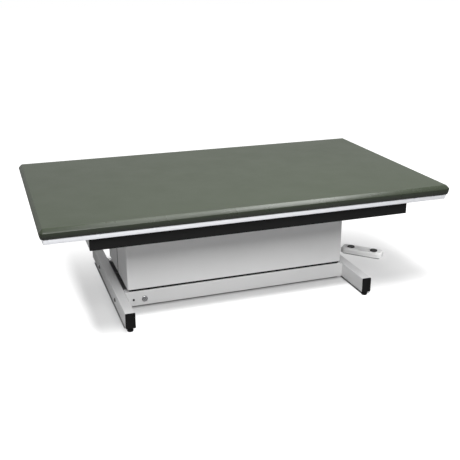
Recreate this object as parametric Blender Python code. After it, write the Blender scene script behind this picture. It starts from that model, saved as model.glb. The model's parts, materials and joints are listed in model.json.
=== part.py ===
"""Therapy mat platform: a padded deck on a powered telescoping pedestal, with a foot control.

Units are metres, +Z is up, X runs along the mat and the floor is at Z = 0. The origin is on the floor
below the middle of the mat, and the platform is modelled at its lowest height.
"""

import math
from typing import NamedTuple

import bmesh
import bpy
from mathutils import Matrix

# Clearances
SEAT_GAP = 0.0003
RUNNING_GAP = 0.0006
LIFT_GAP = 0.0030

# Mesh fineness: four rounded corners and a full round have as many points, so they can be skinned together
CORNER_STEPS = 4
ROUND_POINTS = 4 * (CORNER_STEPS + 1)
SMOOTH_ANGLE = math.radians(32)

# Pedestal: the moving upper shroud slides over the fixed lower one
PEDESTAL_LENGTH = 1.240
PEDESTAL_DEPTH = 0.524
SHROUD_SHEET = 0.002
SHROUD_CORNER_RADIUS = 0.008
SHROUD_SEAM = 0.018
SHROUD_FOOT_GAP = 0.0145
SHROUD_OVERLAP = 0.089
SHROUD_TOP_ROOM = 0.014
SHROUD_SPACING = 0.006
SEAM_STRIP_WIDTH = 0.050
SEAM_STRIP_THICKNESS = 0.002
ANGLE_LEG = 0.030
ANGLE_THICKNESS = 0.003
LIFT_STROKE = 0.254

# Base frame of rectangular tube
BASE_TUBE_HEIGHT = 0.0825
BASE_TUBE_WIDTH = 0.051
BASE_TUBE_WALL = 0.003
BASE_TUBE_RADIUS = 0.004
FOOT_LENGTH = 1.015
FOOT_SIDE_GAP = 0.0135
RAIL_END_PLATE = 0.006
CAP_THICKNESS = 0.005
CAP_EDGE = 0.0015
CAP_PLUG_DEPTH = 0.008
CAP_WALL = 0.003

# Levelling feet
LEVELLER_HEIGHT = 0.022
LEVELLER_PAD_HEIGHT = 0.014
LEVELLER_PAD_RADIUS = 0.016
LEVELLER_PAD_EDGE = 0.0015
LEVELLER_NECK_FLATS = 0.019
LEVELLER_STEM_RADIUS = 0.005
LEVELLER_STEM_LENGTH = 0.040
LEVELLER_INSET = 0.022

# Bolts that draw the base rails against the feet
BOLT_RADIUS = 0.006
BOLT_HEAD_RADIUS = 0.011
BOLT_HEAD_HEIGHT = 0.007
BOLT_REACH = 0.010

# Lifting columns
COLUMN_SPACING = 0.760
TRAY_WIDTH = 0.170
TRAY_HEIGHT = 0.038
TRAY_WALL = 0.004
GEARBOX_SIDE = 0.112
GEARBOX_HEIGHT = 0.060
GEARBOX_RADIUS = 0.010
SPINDLE_SOCKET_DEPTH = 0.035
MOTOR_RADIUS = 0.029
MOTOR_LENGTH = 0.128
MOTOR_FLANGE = 0.008
MOTOR_END_CHAMFER = 0.006
OUTER_COLUMN_SIDE = 0.100
COLUMN_WALL = 0.004
COLUMN_RADIUS = 0.010
COLUMN_FLANGE_THICKNESS = 0.008
INNER_COLUMN_SIDE = 0.076
INNER_FLANGE_SIDE = 0.120
INNER_COLUMN_LIFT = 0.010
COLLAR_DEPTH = 0.040
COLLAR_LIP = 0.004
SPINDLE_RADIUS = 0.010
SPINDLE_OVERRUN = 0.008
SPINDLE_CHAMFER = 0.002
NUT_HEIGHT = 0.030

# Upper frame
TOP_RAIL_LENGTH = 1.679
TOP_RAIL_HEIGHT = 0.071
TOP_RAIL_WIDTH = 0.020
TOP_RAIL_WALL = 0.002
TOP_RAIL_RADIUS = 0.003
TOP_RAIL_INSET = 0.044
TOP_RAIL_DRAIN_RADIUS = 0.003
CROSS_TUBE_WIDTH = 0.040
CROSS_TUBE_WALL = 0.0025
CROSS_TUBE_RADIUS = 0.005

# Deck and mat
MAT_LENGTH = 2.134
MAT_WIDTH = 1.219
MAT_THICKNESS = 0.052
MAT_CORNER_RADIUS = 0.022
MAT_EDGE_SLOPE = 0.019
MAT_EDGE_BOW = 0.0008
MAT_CROWN = 0.003
MAT_DRAW_IN = 0.010
MAT_SWELL_HEIGHT = 0.024
DECK_INSET = 0.013
DECK_THICKNESS = 0.025
DECK_CORNER_RADIUS = 0.010
DECK_EDGE = 0.003

# Electrical fittings on the base
CONTROL_BOX_LENGTH = 0.220
CONTROL_BOX_DEPTH = 0.090
CONTROL_BOX_HEIGHT = 0.055
CONTROL_BOX_RADIUS = 0.008
INLET_LENGTH = 0.046
INLET_HEIGHT = 0.028
INLET_DEPTH = 0.022
INLET_WALL = 0.003
INLET_FLANGE = 0.006
INLET_FLANGE_THICKNESS = 0.003
INLET_RADIUS = 0.004
FITTINGS_DROP = 0.0035
LOCK_FROM_RAIL_END = 0.1016
LOCK_BEZEL_RADIUS = 0.0160
LOCK_BEZEL_HEIGHT = 0.006
LOCK_BODY_RADIUS = 0.0105
LOCK_BODY_DEPTH = 0.022
LOCK_BARREL_RADIUS = 0.0075
LOCK_BARREL_STAND = 0.0015
LOCK_SLOT_LENGTH = 0.009
LOCK_SLOT_WIDTH = 0.0022
LOCK_SLOT_DEPTH = 0.008
BREAKER_FROM_RAIL_END = 0.0424
BREAKER_RADIUS = 0.0055
BREAKER_STAND = 0.004
BREAKER_DEPTH = 0.012
BREAKER_STOP_RADIUS = 0.0080
BREAKER_STOP = 0.002

# Foot control
CONTROL_X = 0.9454
CONTROL_Y = 0.0592
CONTROL_TURN = math.radians(-46)
PEDAL_LENGTH = 0.262
PEDAL_WIDTH = 0.087
PEDAL_HEIGHT = 0.034
PEDAL_RADIUS = 0.026
PEDAL_WALL = 0.0035
PEDAL_EDGE = 0.009
PEDAL_RIM_LIFT = 0.0028
PEDAL_PLATE = 0.004
BUTTON_SPACING = 0.1465
BUTTON_RADIUS = 0.0210
BUTTON_STAND = 0.005
BUTTON_DOME = 0.002
BUTTON_FLANGE = 0.003
BUTTON_FLANGE_THICKNESS = 0.002
BUTTON_STEM_RADIUS = 0.006
BUTTON_TRAVEL = 0.004
BOARD_LENGTH = 0.190
BOARD_WIDTH = 0.040
BOARD_THICKNESS = 0.0020
SWITCH_SIDE = 0.018
SWITCH_HEIGHT = 0.005
GLAND_RADIUS = 0.008
GLAND_FLANGE = 0.003
GLAND_LENGTH = 0.018
GLAND_BORE_RADIUS = 0.003
GLAND_OFFSET = 0.060

# Heights and places that follow from the sizes above
BASE_BOTTOM = LEVELLER_HEIGHT
BASE_TOP = BASE_BOTTOM + BASE_TUBE_HEIGHT
BASE_MIDDLE = BASE_BOTTOM + BASE_TUBE_HEIGHT / 2
UPPER_SHROUD_BOTTOM = BASE_TOP + SHROUD_FOOT_GAP
LOWER_SHROUD_TOP = UPPER_SHROUD_BOTTOM + LIFT_STROKE + SHROUD_OVERLAP
FRAME_UNDERSIDE = LOWER_SHROUD_TOP + SHROUD_TOP_ROOM
FRAME_MIDDLE = FRAME_UNDERSIDE + TOP_RAIL_HEIGHT / 2
FRAME_TOP = FRAME_UNDERSIDE + TOP_RAIL_HEIGHT
DECK_BOTTOM = FRAME_TOP + SEAT_GAP
DECK_TOP = DECK_BOTTOM + DECK_THICKNESS
DECK_LENGTH = MAT_LENGTH - 2 * DECK_INSET
DECK_WIDTH = MAT_WIDTH - 2 * DECK_INSET
FOOT_INNER_X = PEDESTAL_LENGTH / 2 + FOOT_SIDE_GAP
FOOT_X = FOOT_INNER_X + BASE_TUBE_WIDTH / 2
FOOT_OUTER_X = FOOT_INNER_X + BASE_TUBE_WIDTH
FOOT_TUBE_LENGTH = FOOT_LENGTH - 2 * (CAP_THICKNESS + SEAT_GAP)
WALL_DRILL_DEPTH = 4 * BASE_TUBE_WALL
RAIL_END_X = FOOT_INNER_X - SEAT_GAP
RAIL_FACE_Y = PEDESTAL_DEPTH / 2
RAIL_Y = RAIL_FACE_Y - BASE_TUBE_WIDTH / 2
RAIL_INNER_Y = RAIL_FACE_Y - BASE_TUBE_WIDTH
COLUMN_X = COLUMN_SPACING / 2
GEARBOX_BOTTOM = BASE_BOTTOM + TRAY_WALL + SEAT_GAP
GEARBOX_TOP = GEARBOX_BOTTOM + GEARBOX_HEIGHT
OUTER_COLUMN_BOTTOM = GEARBOX_TOP + SEAT_GAP
INNER_COLUMN_BOTTOM = OUTER_COLUMN_BOTTOM + INNER_COLUMN_LIFT
INNER_COLUMN_TOP = FRAME_UNDERSIDE - SEAT_GAP
COLLAR_TOP = INNER_COLUMN_TOP - COLUMN_FLANGE_THICKNESS - LIFT_GAP
OUTER_COLUMN_TOP = COLLAR_TOP - COLLAR_LIP - SEAT_GAP
TOP_RAIL_Y = DECK_WIDTH / 2 - TOP_RAIL_INSET - TOP_RAIL_WIDTH / 2
CROSS_TUBE_LENGTH = 2 * (TOP_RAIL_Y - TOP_RAIL_WIDTH / 2 - SEAT_GAP)
END_TUBE_X = TOP_RAIL_LENGTH / 2 - CROSS_TUBE_WIDTH / 2

# Directions that a piece's own Z axis can be laid along
ALONG_X = Matrix(((0, 0, 1), (1, 0, 0), (0, 1, 0)))
AGAINST_X = Matrix(((0, 0, -1), (1, 0, 0), (0, -1, 0)))
ALONG_Y = Matrix(((0, 1, 0), (0, 0, 1), (1, 0, 0)))
AGAINST_Y = Matrix(((0, -1, 0), (0, 0, -1), (1, 0, 0)))
UPRIGHT = Matrix.Identity(3)
TURNED_ROUND = Matrix.Rotation(math.pi, 3, "Z")
SIDES = {"left": -1, "right": 1}
ENDS = {"front": -1, "rear": 1}


class Finish(NamedTuple):
    """A surface: linear colour, roughness and metallic value."""

    colour: tuple
    roughness: float
    metallic: float


GREY_PAINT = Finish((0.56, 0.57, 0.57), 0.42, 0.0)
SILVER_PAINT = Finish((0.50, 0.51, 0.51), 0.38, 0.3)
DARK_PAINT = Finish((0.020, 0.020, 0.021), 0.50, 0.0)
BLACK_PAINT = Finish((0.012, 0.012, 0.013), 0.40, 0.0)
BLACK_PLASTIC = Finish((0.010, 0.010, 0.010), 0.50, 0.0)
PALE_PLASTIC = Finish((0.66, 0.66, 0.63), 0.45, 0.0)
GREY_PLASTIC = Finish((0.20, 0.20, 0.21), 0.50, 0.0)
WHITE_LAMINATE = Finish((0.80, 0.80, 0.79), 0.35, 0.0)
GREEN_VINYL = Finish((0.130, 0.150, 0.118), 0.45, 0.0)
BRIGHT_STEEL = Finish((0.45, 0.45, 0.46), 0.30, 1.0)
DARK_STEEL = Finish((0.050, 0.050, 0.052), 0.45, 0.8)
CAST_METAL = Finish((0.25, 0.25, 0.26), 0.55, 0.6)
NUT_BRONZE = Finish((0.40, 0.26, 0.12), 0.40, 1.0)
BOARD_GREEN = Finish((0.030, 0.090, 0.050), 0.50, 0.0)


def clear_scene():
    """Remove whatever the scene holds."""
    for item in list(bpy.data.objects):
        bpy.data.objects.remove(item, do_unlink=True)


def own_material(name, finish):
    """A material for one piece."""
    material = bpy.data.materials.new(name + "_finish")
    material.use_nodes = True
    shader = material.node_tree.nodes["Principled BSDF"]
    shader.inputs["Base Color"].default_value = (*finish.colour, 1.0)
    shader.inputs["Roughness"].default_value = finish.roughness
    shader.inputs["Metallic"].default_value = finish.metallic
    return material


def rounded_rectangle(length, width, radius):
    """Points of a rounded rectangle about the origin, counter-clockwise."""
    points = []
    for quarter, (sx, sy) in enumerate(((1, 1), (-1, 1), (-1, -1), (1, -1))):
        for step in range(CORNER_STEPS + 1):
            angle = math.radians(90) * (quarter + step / CORNER_STEPS)
            x = sx * (length / 2 - radius) + radius * math.cos(angle)
            y = sy * (width / 2 - radius) + radius * math.sin(angle)
            points.append((x, y))
    return points


def circle(radius):
    """Points of a circle about the origin, in step with a rounded rectangle's."""
    angles = [math.tau * (k + 0.5) / ROUND_POINTS for k in range(ROUND_POINTS)]
    return [(radius * math.cos(angle), radius * math.sin(angle)) for angle in angles]


def hexagon(across_flats):
    """Points of a hexagon about the origin, in step with a circle's."""
    points = []
    for x, y in circle(1.0):
        turn = math.atan2(y, x) % math.radians(60) - math.radians(30)
        reach = across_flats / 2 / math.cos(turn)
        points.append((reach * x, reach * y))
    return points


def add_object(name, shape, finish, place, axes, parent):
    """Turn a mesh under construction into a placed object with its own material."""
    bmesh.ops.recalc_face_normals(shape, faces=shape.faces)
    mesh = bpy.data.meshes.new(name)
    shape.to_mesh(mesh)
    shape.free()
    mesh.shade_smooth()
    mesh.set_sharp_from_angle(angle=SMOOTH_ANGLE)
    piece = bpy.data.objects.new(name, mesh)
    bpy.context.scene.collection.objects.link(piece)
    piece.location = place
    piece.rotation_euler = axes.to_euler()
    piece.parent = parent
    if finish is not None:
        mesh.materials.append(own_material(name, finish))
    return piece


def loft(name, levels, finish, place=(0, 0, 0), axes=UPRIGHT, parent=None, ring=False):
    """A solid skinned over outlines at given heights: capped at both ends, or closed on itself as a ring."""
    shape = bmesh.new()
    loops = []
    for outline, height in levels:
        loops.append([shape.verts.new((x, y, height)) for x, y in outline])
    pairs = list(zip(loops, loops[1:]))
    if ring:
        pairs.append((loops[-1], loops[0]))
    for lower, upper in pairs:
        for i, first in enumerate(lower):
            j = (i + 1) % len(lower)
            shape.faces.new((first, lower[j], upper[j], upper[i]))
    if not ring:
        shape.faces.new(list(reversed(loops[0])))
        shape.faces.new(loops[-1])
    return add_object(name, shape, finish, place, axes, parent)


def cut(piece, cutter):
    """Take a cutter's shape out of a piece."""
    cutter.hide_render = True
    cutter.display_type = "WIRE"
    boolean = piece.modifiers.new("cut_" + cutter.name, "BOOLEAN")
    boolean.operation = "DIFFERENCE"
    boolean.solver = "EXACT"
    boolean.object = cutter


def drill(piece, radius, depth, place, axes):
    """Drill a round hole of this depth, half to each side of its place."""
    levels = [(circle(radius), -depth / 2), (circle(radius), depth / 2)]
    cut(piece, loft(piece.name + "_drill", levels, None, place, axes, piece.parent))


def hollow_bar(name, outline, bore, length, finish, place, axes, parent=None):
    """A straight tube with open ends."""
    half = length / 2
    levels = [(outline, -half), (outline, half), (bore, half), (bore, -half)]
    return loft(name, levels, finish, place, axes, parent, ring=True)


def ended_bar(name, outline, bore, hole, plate, length, finish, place, axes, parent=None):
    """A straight tube whose ends are closed by plates, each with one hole."""
    half = length / 2
    levels = [(outline, -half), (outline, half), (hole, half), (hole, half - plate)]
    levels += [(bore, half - plate), (bore, plate - half), (hole, plate - half), (hole, -half)]
    return loft(name, levels, finish, place, axes, parent, ring=True)


def angle_bar(name, length, place, axes, parent):
    """An L-shaped bar along its own Z, with its corner at its own +X and +Y."""
    leg, wall = ANGLE_LEG, ANGLE_THICKNESS
    outline = [(0, 0), (-leg, 0), (-leg, -wall), (-wall, -wall), (-wall, -leg), (0, -leg)]
    levels = [(outline, -length / 2), (outline, length / 2)]
    return loft(name, levels, GREY_PAINT, place, axes, parent)


def half_shell(length, depth, seam):
    """Outline of the front half of a bent sheet box, from one seam to the other and back inside."""
    outline = []
    for inset, backwards in ((0.0, False), (SHROUD_SHEET, True)):
        x = length / 2 - inset
        y = depth / 2 - inset
        bend = SHROUD_CORNER_RADIUS - inset
        path = [(-x, -seam / 2)]
        for quarter, side in ((2, -1), (3, 1)):
            for step in range(CORNER_STEPS + 1):
                angle = math.radians(90) * (quarter + step / CORNER_STEPS)
                path.append((side * (x - bend) + bend * math.cos(angle), bend - y + bend * math.sin(angle)))
        path.append((x, -seam / 2))
        outline += reversed(path) if backwards else path
    return outline


def base_section(shrink=0.0):
    """Outline of the base tube, upright along X and drawn in by shrink all round."""
    radius = max(BASE_TUBE_RADIUS - shrink, BASE_TUBE_WALL / 2)
    return rounded_rectangle(BASE_TUBE_WIDTH - 2 * shrink, BASE_TUBE_HEIGHT - 2 * shrink, radius)


def swapped(outline):
    """The same outline with its two directions exchanged, in the same turning sense."""
    return [(y, x) for x, y in reversed(outline)]


def foot_cap(name, place, axes):
    """A plastic plug for the end of a foot; its face looks along its own -Z."""
    face = swapped(base_section(CAP_EDGE))
    rim = swapped(base_section())
    plug = swapped(base_section(BASE_TUBE_WALL + SEAT_GAP))
    inside = swapped(base_section(BASE_TUBE_WALL + SEAT_GAP + CAP_WALL))
    depth = CAP_THICKNESS + CAP_PLUG_DEPTH
    levels = [(face, 0), (rim, CAP_EDGE), (rim, CAP_THICKNESS), (plug, CAP_THICKNESS)]
    levels += [(plug, depth), (inside, depth), (inside, CAP_THICKNESS)]
    loft(name, levels, BLACK_PLASTIC, place, axes)


def leveller(name, place):
    """A levelling foot: a round pad, a hexagon neck and a threaded stem."""
    neck_top = LEVELLER_HEIGHT - SEAT_GAP
    stem = circle(LEVELLER_STEM_RADIUS)
    neck = hexagon(LEVELLER_NECK_FLATS)
    low = circle(LEVELLER_PAD_RADIUS - LEVELLER_PAD_EDGE)
    pad = circle(LEVELLER_PAD_RADIUS)
    levels = [(low, 0), (pad, LEVELLER_PAD_EDGE), (pad, LEVELLER_PAD_HEIGHT - LEVELLER_PAD_EDGE)]
    levels += [(low, LEVELLER_PAD_HEIGHT), (neck, LEVELLER_PAD_HEIGHT), (neck, neck_top)]
    levels += [(stem, neck_top), (stem, neck_top + LEVELLER_STEM_LENGTH)]
    loft(name, levels, BLACK_PLASTIC, place)


def rail_bolt(name, place, axes):
    """A domed bolt; its shank runs along its own +Z from the underside of the head."""
    shank = circle(BOLT_RADIUS)
    shoulder = circle(BOLT_HEAD_RADIUS)
    crown = circle(BOLT_HEAD_RADIUS / 2)
    reach = SEAT_GAP + BASE_TUBE_WIDTH + SEAT_GAP + BOLT_REACH
    levels = [(crown, -BOLT_HEAD_HEIGHT), (shoulder, -BOLT_HEAD_HEIGHT / 3), (shoulder, 0)]
    levels += [(shank, 0), (shank, reach)]
    loft(name, levels, DARK_STEEL, place, axes)


def base_frame():
    """Two feet, the rails between them, and their caps, levelling feet and bolts."""
    bore = base_section(BASE_TUBE_WALL)
    for side, sx in SIDES.items():
        foot = hollow_bar(
            side + "_foot_tube", swapped(base_section()), swapped(bore), FOOT_TUBE_LENGTH, GREY_PAINT,
            (sx * FOOT_X, 0, BASE_MIDDLE), ALONG_Y,
        )
        for end, sy in ENDS.items():
            corner = end + "_" + side
            inwards = ALONG_Y if sy < 0 else AGAINST_Y
            foot_cap(corner + "_foot_cap", (sx * FOOT_X, sy * FOOT_LENGTH / 2, BASE_MIDDLE), inwards)
            leveller_y = sy * (FOOT_LENGTH / 2 - LEVELLER_INSET)
            leveller(corner + "_leveller", (sx * FOOT_X, leveller_y, 0))
            stem_hole = LEVELLER_STEM_RADIUS + RUNNING_GAP
            drill(foot, stem_hole, WALL_DRILL_DEPTH, (sx * FOOT_X, leveller_y, BASE_BOTTOM), UPRIGHT)
            across = ALONG_X if sx < 0 else AGAINST_X
            bolt_x = sx * (FOOT_OUTER_X + SEAT_GAP)
            rail_bolt(corner + "_rail_bolt", (bolt_x, sy * RAIL_Y, BASE_MIDDLE), across)
            bolt_hole = BOLT_RADIUS + SEAT_GAP
            drill(foot, bolt_hole, 2 * BASE_TUBE_WIDTH, (sx * FOOT_X, sy * RAIL_Y, BASE_MIDDLE), ALONG_X)
    rails = {}
    for end, sy in ENDS.items():
        rails[end] = ended_bar(
            end + "_base_rail", base_section(), bore, circle(BOLT_RADIUS + SEAT_GAP), RAIL_END_PLATE,
            2 * RAIL_END_X, GREY_PAINT, (0, sy * RAIL_Y, BASE_MIDDLE), ALONG_X,
        )
    return rails


def square(side, radius=COLUMN_RADIUS):
    """A square outline with rounded corners."""
    return rounded_rectangle(side, side, radius)


def lift_column(side, sx):
    """One motor-driven telescoping column, from its tray on the base to its flange under the upper frame."""
    x = sx * COLUMN_X
    half, wall = TRAY_WIDTH / 2, TRAY_WALL
    tray = [(0, -half), (0, half), (TRAY_HEIGHT, half), (TRAY_HEIGHT, half - wall)]
    tray += [(wall, half - wall), (wall, wall - half), (TRAY_HEIGHT, wall - half), (TRAY_HEIGHT, -half)]
    tray_end = RAIL_INNER_Y - SEAT_GAP
    levels = [(tray, -tray_end), (tray, tray_end)]
    loft(side + "_column_tray", levels, GREY_PAINT, (x, 0, BASE_BOTTOM), ALONG_Y)

    case = square(GEARBOX_SIDE, GEARBOX_RADIUS)
    socket = circle(SPINDLE_RADIUS + RUNNING_GAP)
    socket_floor = GEARBOX_HEIGHT - SPINDLE_SOCKET_DEPTH
    levels = [(case, 0), (case, GEARBOX_HEIGHT), (socket, GEARBOX_HEIGHT), (socket, socket_floor)]
    loft(side + "_gearbox", levels, CAST_METAL, (x, 0, GEARBOX_BOTTOM))

    drum = circle(MOTOR_RADIUS)
    body = circle(MOTOR_RADIUS - MOTOR_END_CHAMFER / 3)
    bell = circle(MOTOR_RADIUS - MOTOR_END_CHAMFER)
    levels = [(drum, 0), (drum, MOTOR_FLANGE), (body, MOTOR_FLANGE)]
    levels += [(body, MOTOR_LENGTH - MOTOR_END_CHAMFER), (bell, MOTOR_LENGTH)]
    motor_y = GEARBOX_SIDE / 2 + SEAT_GAP
    loft(side + "_motor", levels, BLACK_PAINT, (x, motor_y, GEARBOX_BOTTOM + GEARBOX_HEIGHT / 2), ALONG_Y)

    flange = square(GEARBOX_SIDE)
    tube = square(OUTER_COLUMN_SIDE)
    bore_side = OUTER_COLUMN_SIDE - 2 * COLUMN_WALL
    bore = square(bore_side, COLUMN_RADIUS - COLUMN_WALL)
    step = OUTER_COLUMN_BOTTOM + COLUMN_FLANGE_THICKNESS
    levels = [(flange, OUTER_COLUMN_BOTTOM), (flange, step), (tube, step), (tube, OUTER_COLUMN_TOP)]
    levels += [(bore, OUTER_COLUMN_TOP), (bore, OUTER_COLUMN_BOTTOM)]
    loft(side + "_outer_column", levels, GREY_PAINT, (x, 0, 0), ring=True)

    guide = square(INNER_COLUMN_SIDE + 2 * RUNNING_GAP, COLUMN_RADIUS)
    plug = square(bore_side - 2 * SEAT_GAP, COLUMN_RADIUS - COLUMN_WALL)
    lip = OUTER_COLUMN_TOP + SEAT_GAP
    low = OUTER_COLUMN_TOP - COLLAR_DEPTH
    levels = [(plug, low), (plug, lip), (tube, lip), (tube, COLLAR_TOP), (guide, COLLAR_TOP), (guide, low)]
    loft(side + "_glide_collar", levels, BLACK_PLASTIC, (x, 0, 0), ring=True)


def moving_column(side, sx, platform):
    """The moving half of a column: its inner tube and nut, and the spindle that drives them."""
    x = sx * COLUMN_X
    tube = square(INNER_COLUMN_SIDE)
    bore_side = INNER_COLUMN_SIDE - 2 * COLUMN_WALL
    bore = square(bore_side, COLUMN_RADIUS - COLUMN_WALL)
    flange = square(INNER_FLANGE_SIDE)
    step = INNER_COLUMN_TOP - COLUMN_FLANGE_THICKNESS
    levels = [(tube, INNER_COLUMN_BOTTOM), (tube, step), (flange, step), (flange, INNER_COLUMN_TOP)]
    levels += [(bore, INNER_COLUMN_TOP), (bore, INNER_COLUMN_BOTTOM)]
    loft(side + "_inner_column", levels, BRIGHT_STEEL, (x, 0, 0), parent=platform, ring=True)

    nut_top = INNER_COLUMN_BOTTOM + NUT_HEIGHT
    block = square(bore_side - 2 * SEAT_GAP, COLUMN_RADIUS - COLUMN_WALL)
    thread = circle(SPINDLE_RADIUS + RUNNING_GAP)
    levels = [(block, INNER_COLUMN_BOTTOM), (block, nut_top)]
    levels += [(thread, nut_top), (thread, INNER_COLUMN_BOTTOM)]
    loft(side + "_spindle_nut", levels, NUT_BRONZE, (x, 0, 0), parent=platform, ring=True)

    bottom = GEARBOX_TOP - SPINDLE_SOCKET_DEPTH + SEAT_GAP
    top = nut_top + LIFT_STROKE + SPINDLE_OVERRUN
    rod = circle(SPINDLE_RADIUS)
    tip = circle(SPINDLE_RADIUS - SPINDLE_CHAMFER)
    levels = [(tip, bottom), (rod, bottom + SPINDLE_CHAMFER), (rod, top - SPINDLE_CHAMFER), (tip, top)]
    loft(side + "_spindle", levels, BRIGHT_STEEL, (x, 0, 0))


def shrouds(platform):
    """The fixed lower shroud on the base rails and the moving upper shroud outside it, each in two halves."""
    inset = SHROUD_SHEET + SHROUD_SPACING
    lower = half_shell(PEDESTAL_LENGTH - 2 * inset, PEDESTAL_DEPTH - 2 * inset, 2 * SEAT_GAP)
    upper = half_shell(PEDESTAL_LENGTH, PEDESTAL_DEPTH, SHROUD_SEAM)
    upper_top = FRAME_UNDERSIDE - SEAT_GAP
    behind = SHROUD_SHEET + SEAT_GAP
    angle_length = PEDESTAL_LENGTH - 2 * (SHROUD_SHEET + SHROUD_CORNER_RADIUS)
    for end, turn in (("front", UPRIGHT), ("rear", TURNED_ROUND)):
        levels = [(lower, BASE_TOP + SEAT_GAP), (lower, LOWER_SHROUD_TOP)]
        loft("lower_shroud_" + end, levels, DARK_PAINT, axes=turn)
        levels = [(upper, UPPER_SHROUD_BOTTOM), (upper, upper_top)]
        loft("upper_shroud_" + end, levels, SILVER_PAINT, axes=turn, parent=platform)
        sy = ENDS[end]
        corner = (0, sy * (PEDESTAL_DEPTH / 2 - behind), upper_top)
        angle_bar(end + "_shroud_angle", angle_length, corner, turn @ TURNED_ROUND @ ALONG_X, platform)
    strip = rounded_rectangle(SEAM_STRIP_THICKNESS, SEAM_STRIP_WIDTH, SEAM_STRIP_THICKNESS / 4)
    strip_x = PEDESTAL_LENGTH / 2 - behind - SEAM_STRIP_THICKNESS / 2
    for side, sx in SIDES.items():
        levels = [(strip, UPPER_SHROUD_BOTTOM), (strip, upper_top)]
        loft(side + "_seam_strip", levels, DARK_PAINT, (sx * strip_x, 0, 0), parent=platform)


def upper_frame(platform):
    """Two long rails with cross tubes between them, under the deck."""
    radius = TOP_RAIL_RADIUS
    wall = TOP_RAIL_WALL
    rail = rounded_rectangle(TOP_RAIL_WIDTH, TOP_RAIL_HEIGHT, radius)
    bore = rounded_rectangle(TOP_RAIL_WIDTH - 2 * wall, TOP_RAIL_HEIGHT - 2 * wall, radius - wall)
    for end, sy in ENDS.items():
        ended_bar(
            end + "_top_rail", rail, bore, circle(TOP_RAIL_DRAIN_RADIUS), wall, TOP_RAIL_LENGTH, BLACK_PAINT,
            (0, sy * TOP_RAIL_Y, FRAME_MIDDLE), ALONG_X, platform,
        )
    wall = CROSS_TUBE_WALL
    tube = rounded_rectangle(TOP_RAIL_HEIGHT, CROSS_TUBE_WIDTH, CROSS_TUBE_RADIUS)
    inside = CROSS_TUBE_RADIUS - wall
    bore = rounded_rectangle(TOP_RAIL_HEIGHT - 2 * wall, CROSS_TUBE_WIDTH - 2 * wall, inside)
    for side, sx in SIDES.items():
        for use, x in (("end", END_TUBE_X), ("lift", COLUMN_X)):
            hollow_bar(
                side + "_" + use + "_cross_tube", tube, bore, CROSS_TUBE_LENGTH, GREY_PAINT,
                (sx * x, 0, FRAME_MIDDLE), ALONG_Y, platform,
            )


def deck_and_mat(platform):
    """The deck board and the upholstered mat on it."""
    edge = DECK_EDGE
    face = rounded_rectangle(DECK_LENGTH - 2 * edge, DECK_WIDTH - 2 * edge, DECK_CORNER_RADIUS - edge)
    side = rounded_rectangle(DECK_LENGTH, DECK_WIDTH, DECK_CORNER_RADIUS)
    levels = [(face, DECK_BOTTOM), (side, DECK_BOTTOM + edge), (side, DECK_TOP - edge), (face, DECK_TOP)]
    loft("deck_board", levels, WHITE_LAMINATE, parent=platform)

    def inset_mat(inset):
        radius = max(MAT_CORNER_RADIUS - inset, MAT_CORNER_RADIUS / 8)
        return rounded_rectangle(MAT_LENGTH - 2 * inset, MAT_WIDTH - 2 * inset, radius)

    # Drawn in where the cover turns under, full at the swell, sloped at the edge, crowned to the middle
    bottom = DECK_TOP + SEAT_GAP
    shoulder = MAT_THICKNESS - MAT_EDGE_SLOPE
    turns = 5
    crown_rings = 6
    profile = []
    for step in range(turns):
        rise = step / (turns - 1)
        profile.append((MAT_DRAW_IN * (1 - rise) ** 2, MAT_SWELL_HEIGHT * rise))
    for step in range(turns + 1):
        share = step / turns
        bow = MAT_EDGE_BOW * math.sin(math.radians(180) * share)
        profile.append((MAT_EDGE_SLOPE * share - bow, shoulder + MAT_EDGE_SLOPE * share + bow))
    across = MAT_WIDTH / 2 - MAT_EDGE_SLOPE
    for ring in range(1, crown_rings):
        share = (ring / crown_rings) ** 2
        rise = MAT_CROWN * math.sin(math.radians(90) * math.sqrt(share))
        profile.append((MAT_EDGE_SLOPE + across * share, MAT_THICKNESS + rise))
    levels = [(inset_mat(inset), bottom + height) for inset, height in profile]
    loft("mat", levels, GREEN_VINYL, parent=platform)


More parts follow.
